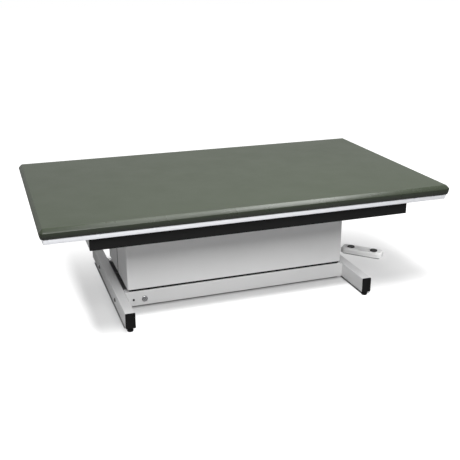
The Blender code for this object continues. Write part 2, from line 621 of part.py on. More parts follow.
def mains_fittings(rails):
    """The control box and power inlet on the rear rail, the key lock and breaker button on the front."""
    bend = CONTROL_BOX_RADIUS
    box = rounded_rectangle(CONTROL_BOX_LENGTH, CONTROL_BOX_DEPTH, bend)
    lid = rounded_rectangle(CONTROL_BOX_LENGTH - bend, CONTROL_BOX_DEPTH - bend, bend / 2)
    levels = [(box, 0), (box, CONTROL_BOX_HEIGHT - bend / 2), (lid, CONTROL_BOX_HEIGHT)]
    box_y = RAIL_INNER_Y - SEAT_GAP - CONTROL_BOX_DEPTH / 2
    loft("control_box", levels, GREY_PLASTIC, (0, box_y, BASE_MIDDLE - CONTROL_BOX_HEIGHT / 2))

    flange = rounded_rectangle(INLET_HEIGHT + 2 * INLET_FLANGE, INLET_LENGTH + 2 * INLET_FLANGE, INLET_RADIUS)
    body = rounded_rectangle(INLET_HEIGHT, INLET_LENGTH, INLET_RADIUS)
    well = rounded_rectangle(INLET_HEIGHT - 2 * INLET_WALL, INLET_LENGTH - 2 * INLET_WALL, INLET_RADIUS / 2)
    face = SEAT_GAP + INLET_FLANGE_THICKNESS
    levels = [(body, -INLET_DEPTH), (body, SEAT_GAP), (flange, SEAT_GAP), (flange, face), (well, face)]
    levels.append((well, INLET_WALL - INLET_DEPTH))
    inlet_place = (0, RAIL_FACE_Y, BASE_MIDDLE)
    loft("power_inlet", levels, BLACK_PLASTIC, inlet_place, ALONG_Y)
    slot = rounded_rectangle(INLET_HEIGHT + 2 * SEAT_GAP, INLET_LENGTH + 2 * SEAT_GAP, INLET_RADIUS)
    reach = 2 * BASE_TUBE_WALL
    cutter = loft("power_inlet_cut", [(slot, -reach), (slot, reach)], None, inlet_place, ALONG_Y)
    cut(rails["rear"], cutter)

    lock_place = (LOCK_FROM_RAIL_END - RAIL_END_X, -RAIL_FACE_Y, BASE_MIDDLE - FITTINGS_DROP)
    rim = circle(LOCK_BEZEL_RADIUS)
    rim_top = circle(LOCK_BEZEL_RADIUS - LOCK_BEZEL_HEIGHT / 3)
    neck = circle(LOCK_BODY_RADIUS)
    bore = circle(LOCK_BARREL_RADIUS + SEAT_GAP)
    levels = [(neck, -LOCK_BODY_DEPTH), (neck, SEAT_GAP), (rim, SEAT_GAP), (rim, LOCK_BEZEL_HEIGHT / 2)]
    levels += [(rim_top, LOCK_BEZEL_HEIGHT), (bore, LOCK_BEZEL_HEIGHT), (bore, -LOCK_BODY_DEPTH)]
    loft("lock_bezel", levels, BRIGHT_STEEL, lock_place, AGAINST_Y, ring=True)
    drill(rails["front"], LOCK_BODY_RADIUS + SEAT_GAP, WALL_DRILL_DEPTH, lock_place, AGAINST_Y)

    core = circle(LOCK_BARREL_RADIUS)
    core_top = LOCK_BEZEL_HEIGHT + LOCK_BARREL_STAND
    levels = [(core, -LOCK_BODY_DEPTH), (core, core_top)]
    barrel = loft("lock_barrel", levels, BRIGHT_STEEL, lock_place, AGAINST_Y)
    key = rounded_rectangle(LOCK_SLOT_LENGTH, LOCK_SLOT_WIDTH, LOCK_SLOT_WIDTH / 4)
    levels = [(key, core_top - LOCK_SLOT_DEPTH), (key, core_top + LOCK_SLOT_DEPTH)]
    cut(barrel, loft("lock_slot_cut", levels, None, lock_place, AGAINST_Y))

    breaker_place = (BREAKER_FROM_RAIL_END - RAIL_END_X, -RAIL_FACE_Y, BASE_MIDDLE - FITTINGS_DROP)
    stem = circle(BREAKER_RADIUS)
    rounded = circle(BREAKER_RADIUS - BREAKER_STAND / 4)
    stop = circle(BREAKER_STOP_RADIUS)
    behind_wall = -BASE_TUBE_WALL - SEAT_GAP
    stop_back = behind_wall - BREAKER_STOP
    levels = [(stem, -BREAKER_DEPTH), (stem, stop_back), (stop, stop_back), (stop, behind_wall)]
    levels += [(stem, behind_wall), (stem, BREAKER_STAND * 3 / 4), (rounded, BREAKER_STAND)]
    loft("breaker_button", levels, BLACK_PLASTIC, breaker_place, AGAINST_Y)
    drill(rails["front"], BREAKER_RADIUS + SEAT_GAP, WALL_DRILL_DEPTH, breaker_place, AGAINST_Y)


def foot_control():
    """The foot control that lies on the floor: a shell with two round buttons over a switch board."""
    centre = bpy.data.objects.new("foot_control_centre", None)
    bpy.context.scene.collection.objects.link(centre)
    centre.location = (CONTROL_X, CONTROL_Y, 0)
    centre.rotation_euler = (0, 0, CONTROL_TURN)

    def oval(shrink):
        return rounded_rectangle(PEDAL_LENGTH - 2 * shrink, PEDAL_WIDTH - 2 * shrink, PEDAL_RADIUS - shrink)

    levels = [(oval(0), PEDAL_RIM_LIFT), (oval(0), PEDAL_HEIGHT - PEDAL_EDGE)]
    bends = 4
    for step in range(1, bends + 1):
        angle = math.radians(90) * step / bends
        lift = PEDAL_HEIGHT - PEDAL_EDGE * (1 - math.sin(angle))
        levels.append((oval(PEDAL_EDGE * (1 - math.cos(angle))), lift))
    shell = loft("foot_control_shell", levels, PALE_PLASTIC, parent=centre)
    ceiling = PEDAL_HEIGHT - PEDAL_WALL
    hollow = [(oval(PEDAL_WALL), -PEDAL_WALL), (oval(PEDAL_WALL), PEDAL_HEIGHT - PEDAL_EDGE)]
    hollow.append((oval(PEDAL_EDGE), ceiling))
    cut(shell, loft("foot_control_hollow", hollow, None, parent=centre))

    plate = oval(PEDAL_WALL + SEAT_GAP)
    loft("foot_control_plate", [(plate, 0), (plate, PEDAL_PLATE)], BLACK_PLASTIC, parent=centre)

    board_bottom = PEDAL_PLATE + SEAT_GAP
    board_top = board_bottom + BOARD_THICKNESS
    switch_top = board_top + SWITCH_HEIGHT
    board_end = BOARD_LENGTH / 2
    board = [(-board_end, board_bottom), (board_end, board_bottom), (board_end, board_top)]
    for middle in (BUTTON_SPACING / 2, -BUTTON_SPACING / 2):
        near, far = middle + SWITCH_SIDE / 2, middle - SWITCH_SIDE / 2
        board += [(near, board_top), (near, switch_top), (far, switch_top), (far, board_top)]
    board.append((-board_end, board_top))
    levels = [(board, -BOARD_WIDTH / 2), (board, BOARD_WIDTH / 2)]
    loft("switch_board", levels, BOARD_GREEN, axes=Matrix.Rotation(math.radians(90), 3, "X"), parent=centre)

    for use, side in (("up", -1), ("down", 1)):
        place = (side * BUTTON_SPACING / 2, 0, 0)
        stem = circle(BUTTON_STEM_RADIUS)
        stop = circle(BUTTON_RADIUS + BUTTON_FLANGE)
        cap = circle(BUTTON_RADIUS)
        dome = circle(BUTTON_RADIUS - BUTTON_DOME)
        stop_top = ceiling - SEAT_GAP
        stop_bottom = stop_top - BUTTON_FLANGE_THICKNESS
        face = PEDAL_HEIGHT + BUTTON_STAND
        levels = [(stem, switch_top + BUTTON_TRAVEL + SEAT_GAP), (stem, stop_bottom), (stop, stop_bottom)]
        levels += [(stop, stop_top), (cap, stop_top), (cap, face - BUTTON_DOME), (dome, face)]
        loft(use + "_button", levels, BLACK_PLASTIC, place, parent=centre)
        drill(shell, BUTTON_RADIUS + RUNNING_GAP, 4 * PEDAL_WALL, (*place[:2], PEDAL_HEIGHT), UPRIGHT)

    collar = circle(GLAND_RADIUS)
    nozzle = circle((GLAND_RADIUS + GLAND_BORE_RADIUS) / 2)
    bore = circle(GLAND_BORE_RADIUS)
    levels = [(collar, 0), (collar, GLAND_FLANGE), (nozzle, GLAND_FLANGE), (nozzle, GLAND_LENGTH)]
    levels += [(bore, GLAND_LENGTH), (bore, 0)]
    gland_place = (GLAND_OFFSET, PEDAL_WIDTH / 2 + SEAT_GAP, (PEDAL_HEIGHT - PEDAL_EDGE) / 2)
    loft("foot_control_gland", levels, BLACK_PLASTIC, gland_place, ALONG_Y, parent=centre, ring=True)


def main():
    """Build the platform, piece by piece."""
    clear_scene()
    platform = bpy.data.objects.new("platform_lift", None)
    bpy.context.scene.collection.objects.link(platform)
    rails = base_frame()
    for side, sx in SIDES.items():
        lift_column(side, sx)
        moving_column(side, sx, platform)
    shrouds(platform)
    upper_frame(platform)
    deck_and_mat(platform)
    mains_fittings(rails)
    foot_control()


main()
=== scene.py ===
"""Looks of a therapy mat platform: upholstery, coatings, mouldings and small fittings on its construction.

Units are metres in the frame of the construction: +X along the mat, +Y from its front to its rear, +Z up.
"""

import json
import logging
import math
from collections.abc import Iterable, Sequence
from dataclasses import dataclass, fields
from enum import Enum

import bmesh
import bpy
import numpy as np
from mathutils import Matrix, Vector
from mathutils.bvhtree import BVHTree
from mathutils.interpolate import poly_3d_calc

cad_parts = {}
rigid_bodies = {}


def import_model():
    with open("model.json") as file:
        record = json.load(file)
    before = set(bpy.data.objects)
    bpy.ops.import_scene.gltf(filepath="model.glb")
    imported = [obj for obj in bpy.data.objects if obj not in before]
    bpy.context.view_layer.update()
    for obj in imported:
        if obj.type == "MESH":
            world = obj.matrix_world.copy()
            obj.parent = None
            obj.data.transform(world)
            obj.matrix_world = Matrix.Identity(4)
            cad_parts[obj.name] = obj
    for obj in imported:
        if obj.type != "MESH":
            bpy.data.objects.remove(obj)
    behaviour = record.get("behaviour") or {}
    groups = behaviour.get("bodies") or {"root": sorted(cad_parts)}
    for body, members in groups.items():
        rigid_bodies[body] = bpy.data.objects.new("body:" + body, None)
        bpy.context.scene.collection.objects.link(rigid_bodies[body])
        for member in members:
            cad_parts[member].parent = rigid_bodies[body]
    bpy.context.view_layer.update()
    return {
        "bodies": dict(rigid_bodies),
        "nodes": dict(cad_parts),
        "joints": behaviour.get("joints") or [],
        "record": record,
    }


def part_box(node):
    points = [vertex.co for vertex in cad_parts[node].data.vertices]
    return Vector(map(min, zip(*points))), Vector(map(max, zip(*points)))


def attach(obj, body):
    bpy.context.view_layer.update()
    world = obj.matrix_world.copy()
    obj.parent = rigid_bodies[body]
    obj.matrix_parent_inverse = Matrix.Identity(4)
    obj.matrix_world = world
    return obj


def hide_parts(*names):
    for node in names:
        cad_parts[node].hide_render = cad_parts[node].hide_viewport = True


LOG = logging.getLogger("therapy_mat_platform")
SMOOTH_ANGLE = math.radians(34)
QUARTER = math.radians(90)
SEAT_GAP = 0.0003
TINY = 1e-9
LEFT_AND_RIGHT = ("left", "right")
FRONT_AND_REAR = ("front", "rear")
REAR_PIECES = ("upper_cover_rear", "lower_cover_rear", "rear_rail", "deck_edging")
BOLT_SIZES = ("Head Radius", "Head Height", "Socket Radius", "Socket Depth", "Shank Radius", "Shank Length")
EDGING_SIZES = ("Length", "Width", "Corner Radius", "Thickness", "Height", "Bead Radius", "Bow", "Level")

Pair = tuple[float, float]
Colour = tuple[float, float, float]
Place = tuple[float, float, float]
Outline = list[Pair]
Level = tuple[Outline, float]
Object = bpy.types.Object
Material = bpy.types.Material
Socket = bpy.types.NodeSocket


class Lie(Enum):
    """The way in which a piece's own Z axis lies, as the rows of a turn."""

    UP = ((1, 0, 0), (0, 1, 0), (0, 0, 1))
    ALONG_X = ((0, 0, 1), (1, 0, 0), (0, 1, 0))
    ALONG_Y = ((0, 1, 0), (0, 0, 1), (1, 0, 0))
    AGAINST_Y = ((0, -1, 0), (0, 0, -1), (1, 0, 0))

    def seat(self, place: Place) -> Matrix:
        """The matrix that lays a piece this way, with its own origin at a place."""
        return Matrix.Translation(place) @ Matrix(self.value).to_4x4()


class Ends(Enum):
    """How a lofted shape is closed: by flat ends, or by joining its last loop to its first."""

    FLAT = "flat"
    JOINED = "joined"


class NodeTree:
    """Nodes under construction: a material's, the sky's or a shape's."""

    def __init__(self, tree: bpy.types.NodeTree) -> None:
        """Take up the tree that gets the nodes."""
        self.tree = tree
        self.nodes = tree.nodes

    def feed(self, socket: Socket, value: object) -> None:
        """Give a socket a plain value, or link another node's socket to it.

        Args:
            socket: the socket that gets it.
            value: the value or the other socket.
        """
        if isinstance(value, Socket):
            self.tree.links.new(value, socket)
        else:
            socket.default_value = value

    def add(self, kind: str, settings: dict[str, object] | None = None, **values: object) -> bpy.types.Node:
        """Add a node.

        Args:
            kind: the node's type.
            settings: its own properties.
            values: what its inputs get; an underscore in a name stands for a space.

        Returns:
            The new node.
        """
        node = self.nodes.new(kind)
        for name, value in (settings or {}).items():
            setattr(node, name, value)
        for name, value in values.items():
            self.feed(node.inputs[name.replace("_", " ")], value)
        return node

    def out(self, kind: str, settings: dict[str, object] | None = None, **values: object) -> Socket:
        """Add a node in the same way, for its first output."""
        return self.add(kind, settings, **values).outputs[0]

    def math(self, operation: str, first: object, second: object = 0.0) -> Socket:
        """Work out a sum on one or two numbers.

        Args:
            operation: the kind of sum.
            first: a number or a socket.
            second: another one, for a sum that takes two.

        Returns:
            The result's socket.
        """
        node = self.add("ShaderNodeMath", {"operation": operation})
        self.feed(node.inputs[0], first)
        self.feed(node.inputs[1], second)
        return node.outputs[0]

    def vector(self, **parts: object) -> Socket:
        """A vector from its X, Y and Z."""
        return self.out("ShaderNodeCombineXYZ", **parts)

    def split(self, vector: Socket) -> list[Socket]:
        """A vector's X, Y and Z."""
        return list(self.add("ShaderNodeSeparateXYZ", Vector=vector).outputs)


class ShaderTree(NodeTree):
    """The nodes of one material, with a Principled shader and the object's own coordinates."""

    def __init__(self, name: str) -> None:
        """Start a material.

        Args:
            name: the material's name.
        """
        self.material = bpy.data.materials.new(name)
        self.material.use_nodes = True
        super().__init__(self.material.node_tree)
        self.shader = self.nodes["Principled BSDF"]
        self.place = self.add("ShaderNodeTexCoord").outputs["Object"]

    def noise(self, scale: float, detail: float, at: Socket | None = None) -> Socket:
        """A cloudy value from 0 to 1, read at the object's own coordinates or others."""
        return self.out("ShaderNodeTexNoise", Vector=at or self.place, Scale=scale, Detail=detail)

    def span(self, value: Socket, low: float, high: float, start: float = 0.3, end: float = 0.7) -> Socket:
        """A value's range from start to end, spread over another range."""
        ends = {"From_Min": start, "From_Max": end, "To_Min": low, "To_Max": high}
        return self.out("ShaderNodeMapRange", Value=value, **ends)

    def tint(self, share: Socket, first: Colour, second: Colour) -> Socket:
        """Mix two colours.

        Args:
            share: the second colour's share, from 0 to 1.
            first: the one colour.
            second: the other colour.

        Returns:
            The mixed colour's socket.
        """
        node = self.add("ShaderNodeMix", {"data_type": "RGBA"}, Factor=share)
        for socket in node.inputs:
            if socket.type == "RGBA":
                socket.default_value = (*(first if socket.name == "A" else second), 1.0)
        return node.outputs[2]

    def relief(self, height: Socket, depth: float, strength: float) -> None:
        """Raise the surface by a height from 0 to 1, times a depth."""
        bump = self.out("ShaderNodeBump", Height=height, Distance=depth, Strength=strength)
        self.feed(self.shader.inputs["Normal"], bump)

    def plain(self, **values: object) -> None:
        """Set the shader's own sockets; an underscore in a name stands for a space."""
        for name, value in values.items():
            self.feed(self.shader.inputs[name.replace("_", " ")], value)


@dataclass(frozen=True)
class Finish:
    """A surface whose colour, roughness and height each follow a pattern.

    The noises give each pattern's scale and detail, in that order. The tints are shares of the colour,
    the gloss is added to the roughness, and the relief is a depth and a strength.
    """

    name: str
    colour: Colour
    roughness: float
    specular: float = 0.5
    metallic: float = 0.0
    noises: tuple[Pair, ...] = ()
    tints: Pair = (1.0, 1.0)
    gloss: Pair = (0.0, 0.0)
    relief: Pair = (0.0, 0.0)

    def shaded(self, share: float) -> Colour:
        """The colour made lighter or darker by a share of itself."""
        return tuple(channel * share for channel in self.colour)

    def patterns(self, tree: ShaderTree) -> list[Socket]:
        """The patterns of the colour, the roughness and the height."""
        return [tree.noise(scale, detail) for scale, detail in self.noises]

    def make(self) -> Material:
        """Build the material.

        Returns:
            The material.
        """
        tree = ShaderTree(self.name)
        cloud, dust, grain = self.patterns(tree)
        tree.plain(
            Base_Color=tree.tint(cloud, *(self.shaded(tint) for tint in self.tints)),
            Roughness=tree.span(dust, *(self.roughness + change for change in self.gloss)),
            Metallic=self.metallic,
            Specular_IOR_Level=self.specular,
        )
        tree.relief(grain, *self.relief)
        return tree.material


@dataclass(frozen=True)
class Coating(Finish):
    """Powder coating on steel: an even colour with a fine pebbled skin."""

    noises: tuple[Pair, ...] = ((2.5, 4.0), (38.0, 3.0), (650.0, 1.0))
    tints: Pair = (0.955, 1.035)
    gloss: Pair = (-0.04, 0.05)
    relief: Pair = (0.00012, 0.35)


@dataclass(frozen=True)
class Moulding(Finish):
    """Moulded plastic with a fine spark-eroded texture."""

    specular: float = 0.4
    noises: tuple[Pair, ...] = ((9.0, 3.0), (60.0, 2.0), (1400.0, 2.0))
    tints: Pair = (0.93, 1.06)
    gloss: Pair = (-0.05, 0.05)
    relief: Pair = (0.00010, 0.4)


@dataclass(frozen=True)
class Laminate(Finish):
    """Pale plastic sheet or edging: nearly even, with faint specks."""

    noises: tuple[Pair, ...] = ((420.0, 2.0), (25.0, 2.0), (180.0, 2.0))
    tints: Pair = (0.975, 1.02)
    gloss: Pair = (-0.03, 0.05)
    relief: Pair = (0.00008, 0.2)


@dataclass(frozen=True)
class Metal(Finish):
    """Bare metal with fine drawn streaks along one axis."""

    metallic: float = 1.0
    tints: Pair = (0.86, 1.08)
    gloss: Pair = (-0.06, 0.08)
    relief: Pair = (0.00004, 0.25)
    streaks: Place = (900.0, 900.0, 12.0)

    def patterns(self, tree: ShaderTree) -> list[Socket]:
        """The streaks, as every pattern."""
        stretched = tree.out("ShaderNodeMapping", Vector=tree.place, Scale=self.streaks)
        return [tree.noise(1.0, 3.0, stretched)] * 3


@dataclass(frozen=True)
class Vinyl(Finish):
    """Upholstery vinyl: a dark colour and a leather-like grain, rubbed glossy along the long edges.

    The rubbed distances from the middle are where the gloss starts and is full. The colour darkens from the
    level of the
    edge to the level of the seat: painted shade on the lower side, which is drawn in under the swell.
    """

    specular: float = 0.42
    noises: tuple[Pair, ...] = ((1.6, 4.0), (7.0, 4.0), (279.0, 3.0))
    tints: Pair = (0.93, 1.0)
    gloss: Pair = (-0.02, 0.02)
    relief: Pair = (0.00022, 0.25)
    grain: float = 620.0
    grain_spread: float = 0.9
    edge_roughness: float = 0.28
    edge_level: float = 0.6246
    edge_fade: float = 0.0008
    seat_level: float = 0.5726
    # painted shade: the colour's share at the seat, which darkens the drawn-in lower side
    seat_shade: float = 0.10
    rubbed: Pair = (0.582, 0.588)

    def make(self) -> Material:
        """Build the material.

        Returns:
            The material.
        """
        tree = ShaderTree(self.name)
        cloud, dust, crease = self.patterns(tree)
        spread = {"Scale": self.grain, "Randomness": self.grain_spread}
        cell = tree.out("ShaderNodeTexVoronoi", Vector=tree.place, **spread)
        _, across, level = tree.split(tree.place)
        long_side = tree.span(tree.math("ABSOLUTE", across), 0.0, 1.0, *self.rubbed)
        bent = tree.span(level, 1.0, 0.0, self.edge_level - self.edge_fade, self.edge_level)
        polish = tree.math("MULTIPLY", bent, long_side)
        rough = tree.span(polish, self.roughness, self.edge_roughness)
        # painted shade: the colour darkens from the edge's level down to the seat's, and is mixed with random
        # tone
        depth = tree.span(level, 0.0, 1.0, self.seat_level, self.edge_level)
        share = tree.math("MULTIPLY", depth, tree.span(cloud, *self.tints))
        tree.plain(
            Base_Color=tree.tint(share, self.shaded(self.seat_shade), self.colour),
            Roughness=tree.math("ADD", rough, tree.span(dust, *self.gloss)),
            Specular_IOR_Level=self.specular,
        )
        tree.relief(tree.math("MULTIPLY", cell, crease), *self.relief)
        return tree.material


@dataclass(frozen=True)
class Finishes:
    """Every surface of the platform, by the record's slot names."""

    grey_paint: Coating = Coating("grey_coating", (0.63, 0.63, 0.63), 0.42)
    silver_paint: Coating = Coating("silver_coating", (0.70, 0.70, 0.70), 0.42)
    dark_paint: Coating = Coating("dark_coating", (0.012, 0.012, 0.012), 0.50, 0.2)
    black_paint: Coating = Coating("black_coating", (0.007, 0.007, 0.007), 0.45, 0.12)
    black_plastic: Moulding = Moulding("black_moulding", (0.004, 0.004, 0.004), 0.48, 0.12)
    pale_plastic: Moulding = Moulding("pale_moulding", (0.76, 0.76, 0.755), 0.55, 0.25)
    grey_plastic: Moulding = Moulding("grey_moulding", (0.19, 0.19, 0.20), 0.50)
    white_laminate: Laminate = Laminate("white_edging", (0.80, 0.81, 0.84), 0.40)
    green_vinyl: Vinyl = Vinyl("green_vinyl", (0.025, 0.0355, 0.0168), 0.50)
    bright_steel: Metal = Metal("satin_steel", (0.42, 0.42, 0.43), 0.20)
    dark_steel: Metal = Metal("dark_steel", (0.13, 0.13, 0.13), 0.42)
    cast_metal: Metal = Metal("cast_alloy", (0.36, 0.36, 0.37), 0.52, streaks=(300.0, 300.0, 300.0))
    nut_bronze: Metal = Metal("nut_bronze", (0.42, 0.27, 0.13), 0.40)
    board_green: Moulding = Moulding("board_green", (0.028, 0.085, 0.048), 0.50)

    def made(self) -> dict[str, Material]:
        """Build every material, by slot."""
        return {field.name: getattr(self, field.name).make() for field in fields(self)}


def rounded_outline(length: float, width: float, radius: float, steps: int = 8) -> Outline:
    """Points of a rounded rectangle about the origin, counter-clockwise.

    Args:
        length: size along the first axis.
        width: size along the second axis.
        radius: corner radius.
        steps: chords in each corner.

    Returns:
        The points.
    """
    points = []
    for quarter, (sx, sy) in enumerate(((1, 1), (-1, 1), (-1, -1), (1, -1))):
        for step in range(steps + 1):
            angle = QUARTER * (quarter + step / steps)
            x = sx * (length / 2 - radius) + radius * math.cos(angle)
            y = sy * (width / 2 - radius) + radius * math.sin(angle)
            points.append((x, y))
    return points


def round_outline(radius: float, count: int = 48) -> Outline:
    """Points of a circle about the origin."""
    angles = [math.tau * k / count for k in range(count)]
    return [(radius * math.cos(angle), radius * math.sin(angle)) for angle in angles]


def hexagon_outline(across_flats: float, count: int = 48) -> Outline:
    """As many points as a circle's, spread over the sides of a hexagon about the origin.

    Args:
        across_flats: the hexagon's width from side to side.
        count: how many points.

    Returns:
        The points.
    """
    points = []
    for k in range(count):
        angle = math.tau * k / count
        side = (angle + math.pi / 6) % (math.pi / 3) - math.pi / 6
        reach = across_flats / 2 / math.cos(side)
        points.append((reach * math.cos(angle), reach * math.sin(angle)))
    return points


def arc_steps(count: int) -> list[Pair]:
    """Sine and one-minus-cosine of the steps of a quarter turn, from its start to its end."""
    angles = [QUARTER * step / count for step in range(count + 1)]
    return [(math.sin(angle), 1 - math.cos(angle)) for angle in angles]


def round_edge(radius: float, edge: float, top: float, count: int) -> list[Level]:
    """The upper edge of a disc, rounded by a radius of its own, up to its flat top."""
    steps = arc_steps(count)
    return [(round_outline(radius - edge * inset), top - edge * (1 - rise)) for rise, inset in steps]


def measured(node: str) -> tuple[Vector, Vector, Vector, Vector]:
    """The low and the high corner of a node's box, its size and its middle."""
    low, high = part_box(node)
    return low, high, high - low, (low + high) / 2


def add_piece(name: str, shape: bmesh.types.BMesh) -> Object:
    """Turn a mesh under construction into an object at the origin, shaded smooth between its sharp edges.

    Args:
        name: the piece's name.
        shape: the mesh, which is used up.

    Returns:
        The new object.
    """
    bmesh.ops.recalc_face_normals(shape, faces=shape.faces)
    mesh = bpy.data.meshes.new(name)
    shape.to_mesh(mesh)
    shape.free()
    mesh.shade_smooth()
    mesh.set_sharp_from_angle(angle=SMOOTH_ANGLE)
    piece = bpy.data.objects.new(name, mesh)
    bpy.context.scene.collection.objects.link(piece)
    return piece


def loft(name: str, loops: Iterable[Iterable[Vector]], ends: Ends = Ends.FLAT) -> Object:
    """A solid over loops of as many points each.

    Args:
        name: the piece's name.
        loops: the loops, one after the other.
        ends: how it is closed.

    Returns:
        The new object.
    """
    shape = bmesh.new()
    rings = [[shape.verts.new(point) for point in loop] for loop in loops]
    pairs = list(zip(rings, rings[1:]))
    if ends is Ends.JOINED:
        pairs.append((rings[-1], rings[0]))
    for lower, upper in pairs:
        for i, first in enumerate(lower):
            j = (i + 1) % len(lower)
            shape.faces.new((first, lower[j], upper[j], upper[i]))
    if ends is Ends.FLAT:
        shape.faces.new(list(reversed(rings[0])))
        shape.faces.new(rings[-1])
    return add_piece(name, shape)


def skin(name: str, levels: Iterable[Level], seat: Matrix, ends: Ends = Ends.FLAT) -> Object:
    """A solid over outlines of as many points each, at given heights on a seat."""
    loops = [[seat @ Vector((x, y, height)) for x, y in outline] for outline, height in levels]
    return loft(name, loops, ends)


def applied(piece: Object) -> None:
    """Make what a piece's modifiers give its own mesh, and remove them.

    Args:
        piece: the piece.
    """
    graph = bpy.context.evaluated_depsgraph_get()
    made = bpy.data.meshes.new_from_object(piece.evaluated_get(graph))
    piece.modifiers.clear()
    piece.data = made
    made.name = piece.name


def cut_out(piece: Object, cutters: Sequence[Object]) -> None:
    """Take the cutters' shapes out of a piece, and remove the cutters.

    Args:
        piece: the piece.
        cutters: the shapes to take out.
    """
    for cutter in cutters:
        boolean = piece.modifiers.new("cut", "BOOLEAN")
        boolean.operation = "DIFFERENCE"
        boolean.solver = "EXACT"
        boolean.object = cutter
    applied(piece)
    for cutter in cutters:
        bpy.data.objects.remove(cutter, do_unlink=True)
    piece.data.shade_smooth()
    piece.data.set_sharp_from_angle(angle=SMOOTH_ANGLE)


class GrowthTree(NodeTree):
    """A Geometry Nodes tree under construction, with a finish and named sizes as its inputs."""

    def __init__(self, name: str, sizes: Sequence[str]) -> None:
        """Start a tree.

        Args:
            name: the tree's name.
            sizes: the names of its sizes.
        """
        super().__init__(bpy.data.node_groups.new(name, "GeometryNodeTree"))
        interface = self.tree.interface
        for way in ("INPUT", "OUTPUT"):
            interface.new_socket("Geometry", in_out=way, socket_type="NodeSocketGeometry")
        for size in sizes:
            interface.new_socket(size, in_out="INPUT", socket_type="NodeSocketFloat")
        interface.new_socket("Finish", in_out="INPUT", socket_type="NodeSocketMaterial")
        self.entry = self.add("NodeGroupInput").outputs
        self.exit = self.add("NodeGroupOutput").inputs
        self.sizes = [self.entry[size] for size in sizes]

    def moved(self, shape: Socket, **changes: object) -> Socket:
        """A shape, scaled or moved."""
        return self.out("GeometryNodeTransform", Geometry=shape, **changes)

    def close(self, shape: Socket) -> None:
        """End the tree with plain geometry in the finish.

        Args:
            shape: what the tree makes.
        """
        real = self.out("GeometryNodeRealizeInstances", Geometry=shape)
        dressed = self.out("GeometryNodeSetMaterial", Geometry=real, Material=self.entry["Finish"])
        self.feed(self.exit["Geometry"], dressed)

    def grow(self, name: str, seeds: bpy.types.Mesh, values: dict[str, object]) -> Object:
        """Run the tree.

        Args:
            name: the name of the piece that it makes.
            seeds: the mesh that it starts from.
            values: what its named inputs get.

        Returns:
            A plain mesh object with the result.
        """
        piece = bpy.data.objects.new(name, seeds)
        bpy.context.scene.collection.objects.link(piece)
        modifier = piece.modifiers.new("growth", "NODES")
        modifier.node_group = self.tree
        for item in self.tree.interface.items_tree:
            if item.item_type == "SOCKET" and item.in_out == "INPUT" and item.name in values:
                modifier[item.identifier] = values[item.name]
        applied(piece)
        piece.data.set_sharp_from_angle(angle=SMOOTH_ANGLE)
        return piece


def bolt_tree() -> GrowthTree:
    """Domed heads on points, each along its point's own direction, with a hexagon socket and a shank.

    Returns:
        The tree, whose seeds have a vector attribute named facing.
    """
    tree = GrowthTree("fasteners", BOLT_SIZES)
    radius, height, key_radius, key_depth, shank_radius, shank_length = tree.sizes
    ball = tree.out("GeometryNodeMeshUVSphere", Segments=24, Rings=12, Radius=1.0)
    dome = tree.moved(ball, Scale=tree.vector(X=radius, Y=radius, Z=height))
    x, y, z = tree.split(tree.out("GeometryNodeInputPosition"))
    seated = tree.vector(X=x, Y=y, Z=tree.math("MAXIMUM", z, 0.0))
    head = tree.out("GeometryNodeSetPosition", Geometry=dome, Position=seated)
    deep = tree.math("MULTIPLY", key_depth, 2.0)
    hexagon = tree.out("GeometryNodeMeshCylinder", Vertices=6, Radius=key_radius, Depth=deep)
    key = tree.moved(hexagon, Translation=tree.vector(Z=height))
    cut = {"operation": "DIFFERENCE", "solver": "EXACT"}
    socketed = tree.out("GeometryNodeMeshBoolean", cut, Mesh_1=head, Mesh_2=key)
    rod = tree.out("GeometryNodeMeshCylinder", Vertices=24, Radius=shank_radius, Depth=shank_length)
    shank = tree.moved(rod, Translation=tree.vector(Z=tree.math("MULTIPLY", shank_length, -0.5)))
    whole = tree.add("GeometryNodeJoinGeometry")
    for shape in (socketed, shank):
        tree.feed(whole.inputs["Geometry"], shape)
    smooth = tree.out("GeometryNodeSetShadeSmooth", Geometry=whole.outputs["Geometry"])
    facing = tree.out("GeometryNodeInputNamedAttribute", {"data_type": "FLOAT_VECTOR"}, Name="facing")
    turn = tree.out("FunctionNodeAlignRotationToVector", {"axis": "Z"}, Vector=facing)
    points = tree.entry["Geometry"]
    tree.close(tree.out("GeometryNodeInstanceOnPoints", Points=points, Instance=smooth, Rotation=turn))
    return tree


def seeds(name: str, places: Sequence[Place], facings: Sequence[Place]) -> bpy.types.Mesh:
    """Loose points with a direction each.

    Args:
        name: the mesh's name.
        places: where the points are.
        facings: the directions that they look in.

    Returns:
        The mesh.
    """
    mesh = bpy.data.meshes.new(name)
    mesh.from_pydata(list(places), [], [])
    facing = mesh.attributes.new("facing", "FLOAT_VECTOR", "POINT")
    facing.data.foreach_set("vector", [number for direction in facings for number in direction])
    return mesh


